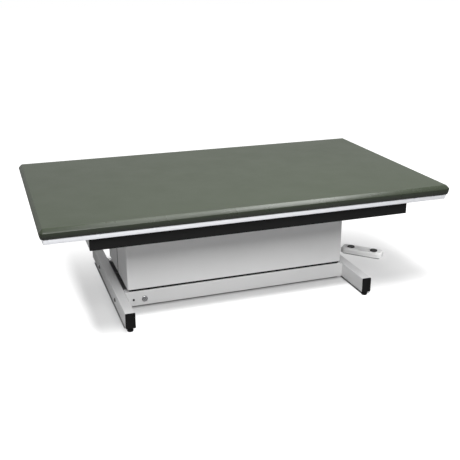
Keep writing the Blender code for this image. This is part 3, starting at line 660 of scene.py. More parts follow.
def edging_tree() -> GrowthTree:
    """A moulded edging, swept round a rounded rectangle, whose face bows in towards its lower edge.

    Returns:
        The tree.
    """
    tree = GrowthTree("edging", EDGING_SIZES)
    length, width, corner, thickness, height, bead, bow, level = tree.sizes
    box, fillet = "GeometryNodeCurvePrimitiveQuadrilateral", "GeometryNodeFilletCurve"
    chords = {"mode": "POLY"}
    path = tree.out(box, Width=length, Height=width)
    rounded = tree.out(fillet, chords, Curve=path, Count=12, Radius=corner)
    section = tree.out(box, Width=thickness, Height=height)
    beaded = tree.out(fillet, chords, Curve=section, Count=4, Radius=bead)
    finer = tree.out("GeometryNodeSubdivideCurve", Curve=beaded, Cuts=5)
    x, y, _ = tree.split(tree.out("GeometryNodeInputPosition"))
    outward = tree.math("ADD", tree.math("DIVIDE", x, thickness), 0.5)
    down = tree.math("ADD", tree.math("DIVIDE", y, height), 0.5)
    pull = tree.math("MULTIPLY", tree.math("MULTIPLY", outward, bow), tree.math("POWER", down, 2.0))
    inward = tree.vector(X=tree.math("MULTIPLY", pull, -1.0))
    profile = tree.out("GeometryNodeSetPosition", Geometry=finer, Offset=inward)
    band = tree.out("GeometryNodeCurveToMesh", Curve=rounded, Profile_Curve=profile)
    raised = tree.moved(band, Translation=tree.vector(Z=level))
    tree.close(tree.out("GeometryNodeSetShadeSmooth", Geometry=raised))
    return tree


@dataclass
class Workshop:
    """What every sub-assembly works with: the construction's nodes, the finishes and each node's slot."""

    nodes: dict[str, Object]
    materials: dict[str, Material]
    slots: dict[str, str]

    def seat_piece(self, piece: Object, body: str, slot: str, *nodes: str) -> None:
        """Let a new piece ride on a body, in a slot's finish, in place of some nodes.

        Args:
            piece: the new piece.
            body: the body that it moves with.
            slot: the record's slot that its finish belongs to.
            nodes: the construction's nodes that it stands for.
        """
        if not any(piece.data.materials):
            piece.data.materials.clear()
            piece.data.materials.append(self.materials[slot])
        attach(piece, body)
        if nodes:
            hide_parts(*nodes)
        LOG.info("%s rides on %s: %d faces", piece.name, body, len(piece.data.polygons))

    def dress(self, *names: str) -> None:
        """Give some of the construction's nodes their finish.

        Args:
            names: the nodes' names.
        """
        for name in names:
            self.nodes[name].material_slots[0].material = self.materials[self.slots[name]]
            LOG.info("%s keeps its shape, in %s", name, self.slots[name])


@dataclass
class SubAssembly:
    """A group of pieces that one workshop makes."""

    shop: Workshop

    def build(self) -> None:
        """Make and dress the pieces."""
        raise NotImplementedError


@dataclass
class BaseFrame(SubAssembly):
    """Feet and rails of coated tube, with end caps, levelling feet and bolts.

    A head, a socket and a shank are each a radius and a length. The rooms are added to the radius of a
    fitting's box, for its hole in the front rail.
    """

    tube_radius: float = 0.004
    tube_wall: float = 0.003
    lock_room: float = 0.0034
    breaker_room: float = -0.0022
    cap_thickness: float = 0.005
    cap_edge: float = 0.0015
    cap_border: float = 0.005
    cap_dish: float = 0.0008
    pad_radius: float = 0.016
    pad_height: float = 0.014
    pad_edge: float = 0.003
    neck_flats: float = 0.019
    stem_radius: float = 0.005
    inlet_flange: float = 0.006
    inlet_radius: float = 0.004
    head: Pair = (0.011, 0.007)
    socket: Pair = (0.0042, 0.004)
    shank: Pair = (0.006, 0.020)

    def build(self) -> None:
        """Make the base's pieces."""
        for side in LEFT_AND_RIGHT:
            self.tube(side + "_foot_tube", side + "_foot", Lie.ALONG_Y)
            for end in FRONT_AND_REAR:
                self.cap(end + "_" + side)
                self.leveller(end + "_" + side)
        bores = [self.bore("lock_barrel", self.lock_room), self.bore("breaker_button", self.breaker_room)]
        self.tube("front_base_rail", "front_rail", Lie.ALONG_X, bores)
        self.tube("rear_base_rail", "rear_rail", Lie.ALONG_X, [self.inlet_slot()])
        self.bolts()

    def section(self, width: float, height: float, inset: float = 0.0) -> Outline:
        """Outline of a tube, drawn in by an inset."""
        radius = max(self.tube_radius - inset, self.tube_wall / 2)
        return rounded_outline(width - 2 * inset, height - 2 * inset, radius)

    def tube(self, node: str, name: str, lie: Lie, cutters: Sequence[Object] = ()) -> None:
        """One length of rectangular tube.

        Args:
            node: the node that it stands for.
            name: its name.
            lie: the way that it runs.
            cutters: shapes to cut out of it.
        """
        _, _, size, middle = measured(node)
        along_y = lie is Lie.ALONG_Y
        width, height = (size.z, size.x) if along_y else (size.y, size.z)
        half = (size.y if along_y else size.x) / 2
        outline, bore = self.section(width, height), self.section(width, height, self.tube_wall)
        levels = [(outline, -half), (outline, half), (bore, half), (bore, -half)]
        piece = skin(name, levels, lie.seat(middle), Ends.JOINED)
        if cutters:
            cut_out(piece, cutters)
        self.shop.seat_piece(piece, "base", "grey_paint", node)

    def cutter(self, name: str, outline: Outline, lie: Lie, place: Place) -> Object:
        """A shape that cuts an outline through a rail's wall."""
        reach = 2 * self.tube_wall
        return skin(name, [(outline, -reach), (outline, reach)], lie.seat(place))

    def bore(self, node: str, room: float) -> Object:
        """A round cutter for the front rail's wall.

        Args:
            node: the fitting that sits in the hole.
            room: what is added to its radius.

        Returns:
            The cutter.
        """
        _, _, size, middle = measured(node)
        place = (middle.x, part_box("front_base_rail")[0].y, middle.z)
        return self.cutter(node + "_bore", round_outline(size.x / 2 + room), Lie.AGAINST_Y, place)

    def inlet_slot(self) -> Object:
        """A cutter for the inlet's body, through the rear rail's wall.

        Returns:
            The cutter.
        """
        _, _, size, middle = measured("power_inlet")
        less = 2 * (self.inlet_flange - SEAT_GAP)
        outline = rounded_outline(size.z - less, size.x - less, self.inlet_radius)
        place = (middle.x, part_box("rear_base_rail")[1].y, middle.z)
        return self.cutter("inlet_slot", outline, Lie.ALONG_Y, place)

    def cap(self, corner: str) -> None:
        """One end cap: a softly edged plate with a shallow dish, and a plug behind it.

        Args:
            corner: the end and the side that it is at.
        """
        node = corner + "_foot_cap"
        low, high, size, middle = measured(node)
        front = corner.startswith("front")
        lie = Lie.ALONG_Y if front else Lie.AGAINST_Y
        face = (middle.x, low.y if front else high.y, middle.z)
        plug = self.tube_wall + SEAT_GAP
        steps = [(self.cap_border + 2 * self.cap_dish, self.cap_dish), (self.cap_border, 0.0)]
        steps += [(self.cap_edge * (1 - rise), self.cap_edge * inset) for rise, inset in arc_steps(4)]
        steps += [(0.0, self.cap_thickness), (plug, self.cap_thickness), (plug, size.y)]
        levels = [(self.section(size.z, size.x, inset), height) for inset, height in steps]
        cap = skin(corner + "_end_cap", levels, lie.seat(face))
        self.shop.seat_piece(cap, "base", "black_plastic", node)

    def leveller(self, corner: str) -> None:
        """One levelling foot: a rounded pad, a hexagon neck and a stem.

        Args:
            corner: the end and the side that it is at.
        """
        node = corner + "_leveller"
        low, high, _, middle = measured(node)
        neck_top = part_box("left_foot_tube")[0].z - SEAT_GAP
        levels = []
        for rise, inset in arc_steps(4):
            radius = self.pad_radius - self.pad_edge * (1 - rise)
            levels.append((round_outline(radius), self.pad_edge * inset))
        levels += round_edge(self.pad_radius, self.pad_edge, self.pad_height, 4)
        neck, stem = hexagon_outline(self.neck_flats), round_outline(self.stem_radius)
        levels += [(neck, self.pad_height), (neck, neck_top), (stem, neck_top), (stem, high.z)]
        pad = skin(corner + "_levelling_foot", levels, Lie.UP.seat((middle.x, middle.y, low.z)))
        self.shop.seat_piece(pad, node, "black_plastic", node)

    def bolts(self) -> None:
        """The bolts that draw the rails against the feet."""
        places, facings, nodes = [], [], []
        for side, way in zip(LEFT_AND_RIGHT, (-1, 1)):
            low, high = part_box(side + "_foot_tube")
            face = low.x if way < 0 else high.x
            for end in FRONT_AND_REAR:
                nodes.append(end + "_" + side + "_rail_bolt")
                middle = measured(nodes[-1])[-1]
                places.append((face + way * SEAT_GAP, middle.y, middle.z))
                facings.append((way, 0, 0))
        values = dict(zip(BOLT_SIZES, (*self.head, *self.socket, *self.shank)))
        values["Finish"] = self.shop.materials["dark_steel"]
        bolts = bolt_tree().grow("rail_bolts", seeds("rail_bolts", places, facings), values)
        self.shop.seat_piece(bolts, "base", "dark_steel", *nodes)


@dataclass
class LiftColumns(SubAssembly):
    """The lifting columns and their drives, inside the pedestal."""

    drive: tuple[str, ...] = ("column_tray", "gearbox", "motor")
    column: tuple[str, ...] = ("outer_column", "glide_collar", "inner_column", "spindle_nut", "spindle")

    def build(self) -> None:
        """Finish the columns' pieces."""
        for side in LEFT_AND_RIGHT:
            self.shop.dress(*(side + "_" + kind for kind in self.drive + self.column))


@dataclass
class Pedestal(SubAssembly):
    """The telescoping shrouds of bent sheet, with a dark gasket in each seam of the upper one."""

    bend: float = 0.008
    bend_steps: int = 10
    sheet: float = 0.002
    hem: float = 0.012
    gasket_gap: float = 0.0006

    def build(self) -> None:
        """Make the shrouds' pieces."""
        for end in FRONT_AND_REAR:
            self.shell("upper_shroud_" + end, "upper_cover_" + end, "platform", "silver_paint", self.hem)
            self.shell("lower_shroud_" + end, "lower_cover_" + end, "base", "dark_paint")
            self.shop.dress(end + "_shroud_angle")
        for side in LEFT_AND_RIGHT:
            self.gasket(side)

    def path(self, length: float, depth: float, seam: float, inset: float) -> Outline:
        """Plan of the front half of a rounded box, from its left seam to its right seam.

        Args:
            length: the box's size along X.
            depth: its size along Y.
            seam: half of the gap between its halves.
            inset: how far inside the outer face it runs.

        Returns:
            The points.
        """
        bend = self.bend - inset
        x, y = length / 2 - inset, depth / 2 - inset
        points = [(-x, -seam)]
        for quarter, side in ((2, -1), (3, 1)):
            for step in range(self.bend_steps + 1):
                angle = QUARTER * (quarter + step / self.bend_steps)
                points.append((side * (x - bend) + bend * math.cos(angle), bend - y + bend * math.sin(angle)))
        points.append((x, -seam))
        return points

    def shell(self, node: str, name: str, body: str, slot: str, hem: float = 0.0) -> None:
        """Half of a shroud, with its lower edge folded back inside as a hem.

        Args:
            node: the node that it stands for.
            name: its name.
            body: the body that it moves with.
            slot: the slot of its finish.
            hem: the hem's height, or none.
        """
        low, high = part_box(node)
        turn = -1 if node.endswith("rear") else 1
        seam, depth = min(abs(low.y), abs(high.y)), 2 * max(abs(low.y), abs(high.y))
        insets = (0.0, self.sheet, 2 * self.sheet if hem else self.sheet)
        plans = [self.path(high.x - low.x, depth, seam, inset) for inset in insets]
        loops = []
        for outer, inner, folded in zip(*plans):
            section = [(outer, low.z), (outer, high.z), (inner, high.z)]
            if hem:
                section += [(inner, low.z + hem), (folded, low.z + hem)]
            section.append((folded, low.z))
            loops.append([Vector((x, turn * y, z)) for (x, y), z in section])
        self.shop.seat_piece(loft(name, loops), body, slot, node)

    def gasket(self, side: str) -> None:
        """A dark strip behind a seam, with a rib that fills it.

        Args:
            side: the side that the seam is on.
        """
        node = side + "_seam_strip"
        low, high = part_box(node)
        cover_low, cover_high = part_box("upper_shroud_front")
        sx = -1 if side == "left" else 1
        inner, outer = sorted((abs(low.x), abs(high.x)))
        face = max(abs(cover_low.x), abs(cover_high.x)) - self.gasket_gap
        half, rib = (high.y - low.y) / 2, abs(cover_high.y) - self.gasket_gap
        outline = [(inner, -half), (outer, -half), (outer, -rib), (face, -rib)]
        outline += [(face, rib), (outer, rib), (outer, half), (inner, half)]
        outline = [(sx * x, y) for x, y in outline]
        levels = [(outline, low.z), (outline, high.z)]
        strip = skin(side + "_seam_gasket", levels, Lie.UP.seat((0, 0, 0)))
        self.shop.seat_piece(strip, "platform", "dark_paint", node)


@dataclass
class UpperFrame(SubAssembly):
    """The rails and cross tubes under the deck."""

    def build(self) -> None:
        """Finish the frame's pieces."""
        self.shop.dress("front_top_rail", "rear_top_rail")
        for side in LEFT_AND_RIGHT:
            self.shop.dress(side + "_end_cross_tube", side + "_lift_cross_tube")


@dataclass
class Deck(SubAssembly):
    """The deck board and the moulded edging round it."""

    corner_radius: float = 0.010
    edging: float = 0.009
    bead: float = 0.0015
    bow: float = 0.0055

    def build(self) -> None:
        """Make the board and its edging."""
        low, high, size, middle = measured("deck_board")
        inset = 2 * self.edging
        outline = rounded_outline(size.x - inset, size.y - inset, self.corner_radius - self.edging)
        board = skin("deck_panel", [(outline, low.z), (outline, high.z)], Lie.UP.seat((0, 0, 0)))
        self.shop.seat_piece(board, "platform", "white_laminate", "deck_board")
        plan = (size.x - self.edging, size.y - self.edging, self.corner_radius - self.edging / 2)
        section = (self.edging, size.z, self.bead, self.bow, middle.z)
        values = dict(zip(EDGING_SIZES, plan + section))
        values["Finish"] = self.shop.materials["white_laminate"]
        band = edging_tree().grow("deck_edging", bpy.data.meshes.new("deck_edging"), values)
        self.shop.seat_piece(band, "platform", "white_laminate")


@dataclass(frozen=True)
class Weave:
    """How finely a mat's form is divided: its flat top, and each bend of its side."""

    core: float
    corner_chords: int
    cell: float
    bend_steps: tuple[int, ...]
    finest: float = 0.004
    growth: float = 1.6


@dataclass(frozen=True)
class Bend:
    """An arc of a side's profile, by how far its face leans out from facing up, at its start and its end."""

    start: float
    end: float
    radius: float

    def points(self, x: float, z: float, count: int) -> Outline:
        """The arc's steps after a first point.

        Args:
            x: the first point's reach.
            z: its height.
            count: how many steps.

        Returns:
            The reach and the height of each step.
        """
        across = self.end - self.start
        leans = [math.radians(self.start + across * step / count) for step in range(count + 1)]
        sine, cosine = math.sin(leans[0]), math.cos(leans[0])
        arc = [(math.sin(lean) - sine, cosine - math.cos(lean)) for lean in leans[1:]]
        return [(x + self.radius * out, z - self.radius * down) for out, down in arc]


@dataclass
class Mat(SubAssembly):
    """The upholstered mat: vinyl drawn tight over foam, with a sloped edge, and drawn in under its swell."""

    bends: tuple[Bend, ...] = (
        Bend(0, 40, 0.0012),
        Bend(40, 50, 0.1432),
        Bend(50, 95, 0.0025),
        Bend(95, 108, 0.1173),
        Bend(108, 150, 0.011),
    )
    edge_slope: float = 0.019
    swell_height: float = 0.024
    crown: float = 0.003
    slack: float = 0.0015
    seat_band: float = 0.001
    pressure: float = 4.0
    stiffness: float = 60.0
    frames: int = 20
    swell_limit: float = 0.0008
    tucks: Pair = (0.3, 0.7)
    tuck_depth: float = 0.0012
    tuck_width: float = math.radians(9)
    trial: Weave = Weave(core=0.010, corner_chords=4, cell=0.040, bend_steps=(1, 2, 1, 3, 2))
    fine: Weave = Weave(core=0.002, corner_chords=12, cell=0.030, bend_steps=(3, 6, 3, 6, 4))

    def build(self) -> None:
        """Make the mat."""
        self.low, self.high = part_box("mat")
        cover = self.form("mat_cover", self.fine)
        self.carry(self.inflate(), cover)
        self.fit(cover)
        finer = cover.modifiers.new("finer", "SUBSURF")
        finer.levels = finer.render_levels = 1
        self.shop.seat_piece(cover, "platform", "green_vinyl", "mat")

    def stations(self, half: float, weave: Weave) -> np.ndarray:
        """Grid lines across a half size, finer towards its ends.

        Args:
            half: half of the size.
            weave: how finely it is divided.

        Returns:
            Places from minus to plus half.
        """
        steps = [weave.finest]
        while steps[-1] * weave.growth < weave.cell:
            steps.append(steps[-1] * weave.growth)
        graded = sum(steps)
        middle = max(2, round(2 * (half - graded) / weave.cell))
        inner = np.linspace(graded - half, half - graded, middle + 1)
        outer = -half + np.concatenate(([0.0], np.cumsum(steps)))[:-1]
        return np.concatenate((outer, inner, -outer[::-1]))

    def profile(self, weave: Weave) -> Outline:
        """The side, from the top's edge down to the seat.

        Args:
            weave: how finely it is divided.

        Returns:
            Its reach beyond the flat top and its height, point by point.
        """
        points = [(0.0, self.high.z - self.low.z - self.crown)]
        for bend, count in zip(self.bends, weave.bend_steps):
            points += bend.points(*points[-1], count)
        points[-1] = (points[-1][0], 0.0)
        return points

    def form(self, name: str, weave: Weave) -> Object:
        """The mat's shape before its cover is drawn tight.

        Args:
            name: the piece's name.
            weave: how finely it is divided.

        Returns:
            The piece, at its place.
        """
        size = self.high - self.low
        margin = self.edge_slope + weave.core + self.slack
        half_x, half_y = size.x / 2 - margin, size.y / 2 - margin
        columns, rows = self.stations(half_x, weave), self.stations(half_y, weave)
        shape = bmesh.new()
        rims = []
        for height, crown in ((size.z - self.crown, self.crown), (0.0, 0.0)):
            grid = []
            for y in rows:
                bow = crown * (1 - (y / half_y) ** 2)
                heights = [self.low.z + height + bow * (1 - (x / half_x) ** 6) for x in columns]
                grid.append([shape.verts.new((x, y, z)) for x, z in zip(columns, heights)])
            for lower, upper in zip(grid, grid[1:]):
                for i in range(len(columns) - 1):
                    shape.faces.new((lower[i], lower[i + 1], upper[i + 1], upper[i]))
            rims.append(self.rim(grid, weave.corner_chords))
        top, bottom = ([vertex for vertex, _ in rim] for rim in rims)
        rings = [top]
        for reach, height in self.profile(weave):
            out = weave.core + reach
            ring = []
            for vertex, turn in rims[0]:
                x, y = vertex.co.x + out * math.cos(turn), vertex.co.y + out * math.sin(turn)
                ring.append(shape.verts.new((x, y, self.low.z + height)))
            rings.append(ring)
        rings.append(bottom)
        for upper, lower in zip(rings, rings[1:]):
            for i, first in enumerate(upper):
                j = (i + 1) % len(upper)
                corners = list(dict.fromkeys((first, upper[j], lower[j], lower[i])))
                shape.faces.new(corners)
        piece = add_piece(name, shape)
        seat_top = self.low.z + self.seat_band
        seated = [vertex.index for vertex in piece.data.vertices if vertex.co.z < seat_top]
        piece.vertex_groups.new(name="seat").add(seated, 1.0, "REPLACE")
        return piece

    @staticmethod
    def rim(grid: list[list[bmesh.types.BMVert]], chords: int) -> list[tuple[bmesh.types.BMVert, float]]:
        """A grid's border points with the direction out of each; a corner has several directions.

        Args:
            grid: rows of points.
            chords: steps of a corner's quarter turn.

        Returns:
            Point and direction, counter-clockwise from the first corner.
        """
        sides = [grid[0], [row[-1] for row in grid], grid[-1][::-1], [row[0] for row in grid][::-1]]
        border = []
        for quarter, side in enumerate(sides):
            facing = QUARTER * (quarter - 1)
            for step in range(chords + 1):
                border.append((side[0], facing - QUARTER * (1 - step / chords)))
            border += [(vertex, facing) for vertex in side[1:-1]]
        return border

    def inflate(self) -> tuple[Object, np.ndarray]:
        """Blow a coarser form up as cloth, held at its seat.

        Returns:
            The coarser form at rest, and how far each of its points moves.
        """
        scene = bpy.context.scene
        piece = self.form("mat_trial", self.trial)
        rest = self.points(piece.data)
        cover = piece.modifiers.new("cover", "CLOTH")
        cover.settings.use_pressure = True
        cover.settings.uniform_pressure_force = self.pressure
        cover.settings.effector_weights.gravity = 0.0
        cover.settings.vertex_group_mass = "seat"
        cover.settings.tension_stiffness = cover.settings.compression_stiffness = self.stiffness
        cover.collision_settings.use_collision = False
        for frame in range(1, self.frames + 1):
            scene.frame_set(frame)
        graph = bpy.context.evaluated_depsgraph_get()
        moved = self.points(piece.evaluated_get(graph).to_mesh()) - rest
        piece.modifiers.remove(cover)
        scene.frame_set(1)
        length = np.linalg.norm(moved, axis=1, keepdims=True)
        moved *= self.swell_limit * np.tanh(length / self.swell_limit) / np.maximum(length, TINY)
        return piece, moved

    def carry(self, blown: tuple[Object, np.ndarray], cover: Object) -> None:
        """Move a cover's points as the coarser form's surface moved, and remove the coarser form.

        Args:
            blown: the coarser form, and how far its points move.
            cover: the cover.
        """
        piece, moved = blown
        corners = [vertex.co.copy() for vertex in piece.data.vertices]
        faces = [tuple(face.vertices) for face in piece.data.polygons]
        surface = BVHTree.FromPolygons(corners, faces)
        for vertex in cover.data.vertices:
            near, _, index, _ = surface.find_nearest(vertex.co)
            face = faces[index]
            shares = poly_3d_calc([corners[k] for k in face], near)
            vertex.co += Vector(sum(share * moved[k] for share, k in zip(shares, face)))
        bpy.data.objects.remove(piece, do_unlink=True)

    def fit(self, cover: Object) -> None:
        """Bring a cover to the mat's length and width, and fold its corners under.

        Args:
            cover: the cover.
        """
        points = self.points(cover.data)
        for axis in (0, 1):
            points[:, axis] *= self.high[axis] / np.abs(points[:, axis]).max()
        heights = points[:, 2] - self.low.z
        core = np.array((self.high.x, self.high.y)) - self.edge_slope - self.fine.core
        out = np.abs(points[:, :2]) - core
        turn = np.arctan2(out[:, 1], out[:, 0])
        folds = sum(np.exp(-(((turn - QUARTER * share) / self.tuck_width) ** 2)) for share in self.tucks)
        fade = np.clip(1 - heights / self.swell_height, 0, 1) * (out > 0).all(axis=1)
        length = np.maximum(np.linalg.norm(out, axis=1), TINY)
        shift = self.tuck_depth * folds * fade / length
        points[:, :2] -= np.sign(points[:, :2]) * out * shift[:, None]
        cover.data.vertices.foreach_set("co", points.astype(np.float32).ravel())
        cover.data.update()

    @staticmethod
    def points(mesh: bpy.types.Mesh) -> np.ndarray:
        """A mesh's points.

        Args:
            mesh: the mesh.

        Returns:
            A row of three numbers for each point.
        """
        flat = np.zeros(len(mesh.vertices) * 3, np.float32)
        mesh.vertices.foreach_get("co", flat)
        return flat.reshape(-1, 3).astype(float)


@dataclass
class MainsFittings(SubAssembly):
    """The key lock and breaker button on the front rail, and the inlet and control box at the rear.

    The groove is its outer and inner radius, and the slot its length and width.
    """

    bezel_radius: float = 0.016
    bezel_height: float = 0.006
    body_radius: float = 0.0105
    barrel_radius: float = 0.0075
    barrel_edge: float = 0.0005
    groove: Pair = (0.0118, 0.0094)
    groove_depth: float = 0.0030
    slot: Pair = (0.011, 0.0030)
    slot_turn: float = math.radians(-45)
    slot_depth: float = 0.008
    button_radius: float = 0.0055
    button_edge: float = 0.0012
    behind_wall: float = -0.0033
    stop_thickness: float = 0.002

    def build(self) -> None:
        """Make the fittings."""
        self.lock()
        self.breaker()
        self.shop.dress("control_box", "power_inlet")

    @staticmethod
    def on_rail(node: str) -> tuple[Matrix, float, float, float]:
        """A fitting's place on the front rail.

        Args:
            node: the fitting's node.

        Returns:
            Its seat on the rail's face, the heights of its back and its front over that face, and its radius.
        """
        low, high, size, middle = measured(node)
        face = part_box("front_base_rail")[0].y
        return Lie.AGAINST_Y.seat((middle.x, face, middle.z)), face - high.y, face - low.y, size.x / 2

    def lock(self) -> None:
        """A rounded bezel with a groove, and a barrel with a key slot."""
        seat, back, front, _ = self.on_rail("lock_barrel")
        top, bed = self.bezel_height, self.bezel_height - self.groove_depth
        body, bore = round_outline(self.body_radius), round_outline(self.barrel_radius + SEAT_GAP)
        outer, inner = (round_outline(radius) for radius in self.groove)
        levels = [(body, back), (body, SEAT_GAP), (round_outline(self.bezel_radius), SEAT_GAP)]
        levels += round_edge(self.bezel_radius, top / 2, top, 5)
        levels += [(outer, top), (outer, bed), (inner, bed), (inner, top), (bore, top), (bore, back)]
        bezel = skin("lock_ring", levels, seat, Ends.JOINED)
        self.shop.seat_piece(bezel, "base", "bright_steel", "lock_bezel")
        core, tip = round_outline(self.barrel_radius), round_outline(self.barrel_radius - self.barrel_edge)
        barrel = skin("lock_core", [(core, back), (core, front - self.barrel_edge), (tip, front)], seat)
        key = rounded_outline(*self.slot, self.slot[1] / 4, 3)
        levels = [(key, front - self.slot_depth), (key, front + self.slot_depth)]
        turned = seat @ Matrix.Rotation(self.slot_turn, 4, "Z")
        cut_out(barrel, [skin("key_slot", levels, turned)])
        self.shop.seat_piece(barrel, "lock_barrel", "bright_steel", "lock_barrel")

    def breaker(self) -> None:
        """A small domed push button with a stop behind the rail's wall."""
        seat, back, front, radius = self.on_rail("breaker_button")
        stop, stem = round_outline(radius), round_outline(self.button_radius)
        wall, inner = self.behind_wall, self.behind_wall - self.stop_thickness
        levels = [(stem, back), (stem, inner), (stop, inner), (stop, wall), (stem, wall)]
        levels += round_edge(self.button_radius, self.button_edge, front, 4)
        self.shop.seat_piece(
            skin("breaker_push", levels, seat), "breaker_button", "black_plastic", "breaker_button",
        )


@dataclass
class FootControl(SubAssembly):
    """The foot control: a moulded shell with two round buttons."""

    length: float = 0.262
    width: float = 0.087
    height: float = 0.034
    rim: float = 0.0028
    corner: float = 0.026
    edge: float = 0.009
    wall: float = 0.0035
    button_radius: float = 0.0232
    button_gap: float = 0.0006
    button_edge: float = 0.003
    button_dish: float = 0.0012
    dish_rings: tuple[float, ...] = (0.75, 0.6, 0.3)
    flange: float = 0.0015
    flange_thickness: float = 0.002
    stem_radius: float = 0.006

    def build(self) -> None:
        """Make the control's pieces."""
        self.middles = {use: measured(use + "_button")[-1] for use in ("up", "down")}
        between = self.middles["down"] - self.middles["up"]
        centre = (self.middles["down"] + self.middles["up"]) / 2
        turn = Matrix.Rotation(math.atan2(between.y, between.x), 4, "Z")
        self.seat = Matrix.Translation((centre.x, centre.y, 0)) @ turn
        self.shell()
        for use in self.middles:
            self.button(use)
        self.shop.dress("foot_control_plate", "switch_board", "foot_control_gland")

    def oval(self, inset: float) -> Outline:
        """The shell's outline, drawn in by an inset."""
        return rounded_outline(self.length - 2 * inset, self.width - 2 * inset, self.corner - inset, 10)

    def button_seat(self, use: str) -> Matrix:
        """The place on the floor under a button."""
        return Lie.UP.seat((self.middles[use].x, self.middles[use].y, 0))

    def shell(self) -> None:
        """The hollow shell, with a hole for each button."""
        shoulder = self.height - self.edge
        levels = [(self.oval(0), self.rim), (self.oval(0), shoulder)]
        for rise, inset in arc_steps(6)[1:]:
            levels.append((self.oval(self.edge * inset), self.height - self.edge * (1 - rise)))
        shell = skin("pedal_shell", levels, self.seat)
        hollow = [(self.oval(self.wall), -self.wall), (self.oval(self.wall), shoulder)]
        hollow.append((self.oval(self.edge), self.height - self.wall))
        cutters = [skin("pedal_hollow", hollow, self.seat)]
        hole = round_outline(self.button_radius + self.button_gap)
        levels = [(hole, self.height / 2), (hole, 2 * self.height)]
        cutters += [skin(use + "_hole", levels, self.button_seat(use)) for use in self.middles]
        cut_out(shell, cutters)
        self.shop.seat_piece(shell, "foot_control", "pale_plastic", "foot_control_shell")

    def button(self, use: str) -> None:
        """One round button: a stem, a flange under the shell and a dished cap.

        Args:
            use: what it is pressed for.
        """
        node = use + "_button"
        low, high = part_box(node)
        under = self.height - self.wall - SEAT_GAP
        flange_low = under - self.flange_thickness
        stem, cap = round_outline(self.stem_radius), round_outline(self.button_radius)
        flange = round_outline(self.button_radius + self.flange)
        levels = [(stem, low.z), (stem, flange_low), (flange, flange_low), (flange, under), (cap, under)]
        levels += round_edge(self.button_radius, self.button_edge, high.z, 5)
        for share in self.dish_rings:
            sink = self.button_dish * math.cos(QUARTER * share) ** 2
            levels.append((round_outline(self.button_radius * share), high.z - sink))
        piece = skin(use + "_push", levels, self.button_seat(use))
        self.shop.seat_piece(piece, node, "black_plastic", node)


@dataclass(frozen=True)
class SoftBox:
    """A rectangular lamp that looks at a point; it lights everything, or only the pieces that it names."""

    name: str
    place: Place
    aim: Place
    size: Pair
    power: float
    lit: tuple[str, ...] = ()

    def hang(self) -> None:
        """Put the lamp in the scene."""
        lamp = bpy.data.lights.new(self.name, "AREA")
        lamp.shape = "RECTANGLE"
        lamp.size, lamp.size_y = self.size
        lamp.energy = self.power
        box = bpy.data.objects.new(self.name, lamp)
        box.location = self.place
        box.rotation_euler = (Vector(self.place) - Vector(self.aim)).to_track_quat("Z", "Y").to_euler()
        bpy.context.scene.collection.objects.link(box)
        if self.lit:
            pieces = bpy.data.collections.new(self.name + "_pieces")
            for name in self.lit:
                pieces.objects.link(bpy.data.objects[name])
            box.light_linking.receiver_collection = pieces


@dataclass(frozen=True)
class PaintedFloorShadow:
    """A painted shadow: a rectangle of the floor that is lifted less, so that it shows darker there, over the
    real shadow in the floor's matt part.

    The fades are the depths of its soft borders: at its low and high X, then at its low and high Y.
    Its borders run along the floor's axes, turned about the origin.
    """

    low: Pair
    high: Pair
    fades: tuple[float, float, float, float]
    glow: float
    turn: float = 0.0

    def glow_at(self, tree: ShaderTree, x: Socket, y: Socket) -> Socket:
        """The lift at a place: little inside the rectangle, and full outside it.

        Args:
            tree: the floor's material.
            x: the place's first coordinate.
            y: its second coordinate.

        Returns:
            The lift's socket.
        """
        if self.turn:
            cosine, sine = math.cos(self.turn), math.sin(self.turn)
            along = tree.math("ADD", tree.math("MULTIPLY", x, cosine), tree.math("MULTIPLY", y, sine))
            y = tree.math("SUBTRACT", tree.math("MULTIPLY", y, cosine), tree.math("MULTIPLY", x, sine))
            x = along
        starts = (self.low[0], self.high[0], self.low[1], self.high[1])
        smooth = {"interpolation_type": "SMOOTHSTEP"}
        inside = 1.0
        for value, start, fade, way in zip((x, x, y, y), starts, self.fades, (1, -1, 1, -1)):
            end = start + way * fade
            border = tree.out("ShaderNodeMapRange", smooth, Value=value, From_Min=start, From_Max=end)
            inside = tree.math("MULTIPLY", inside, border)
        return tree.span(inside, 1.0, self.glow, 0.0, 1.0)


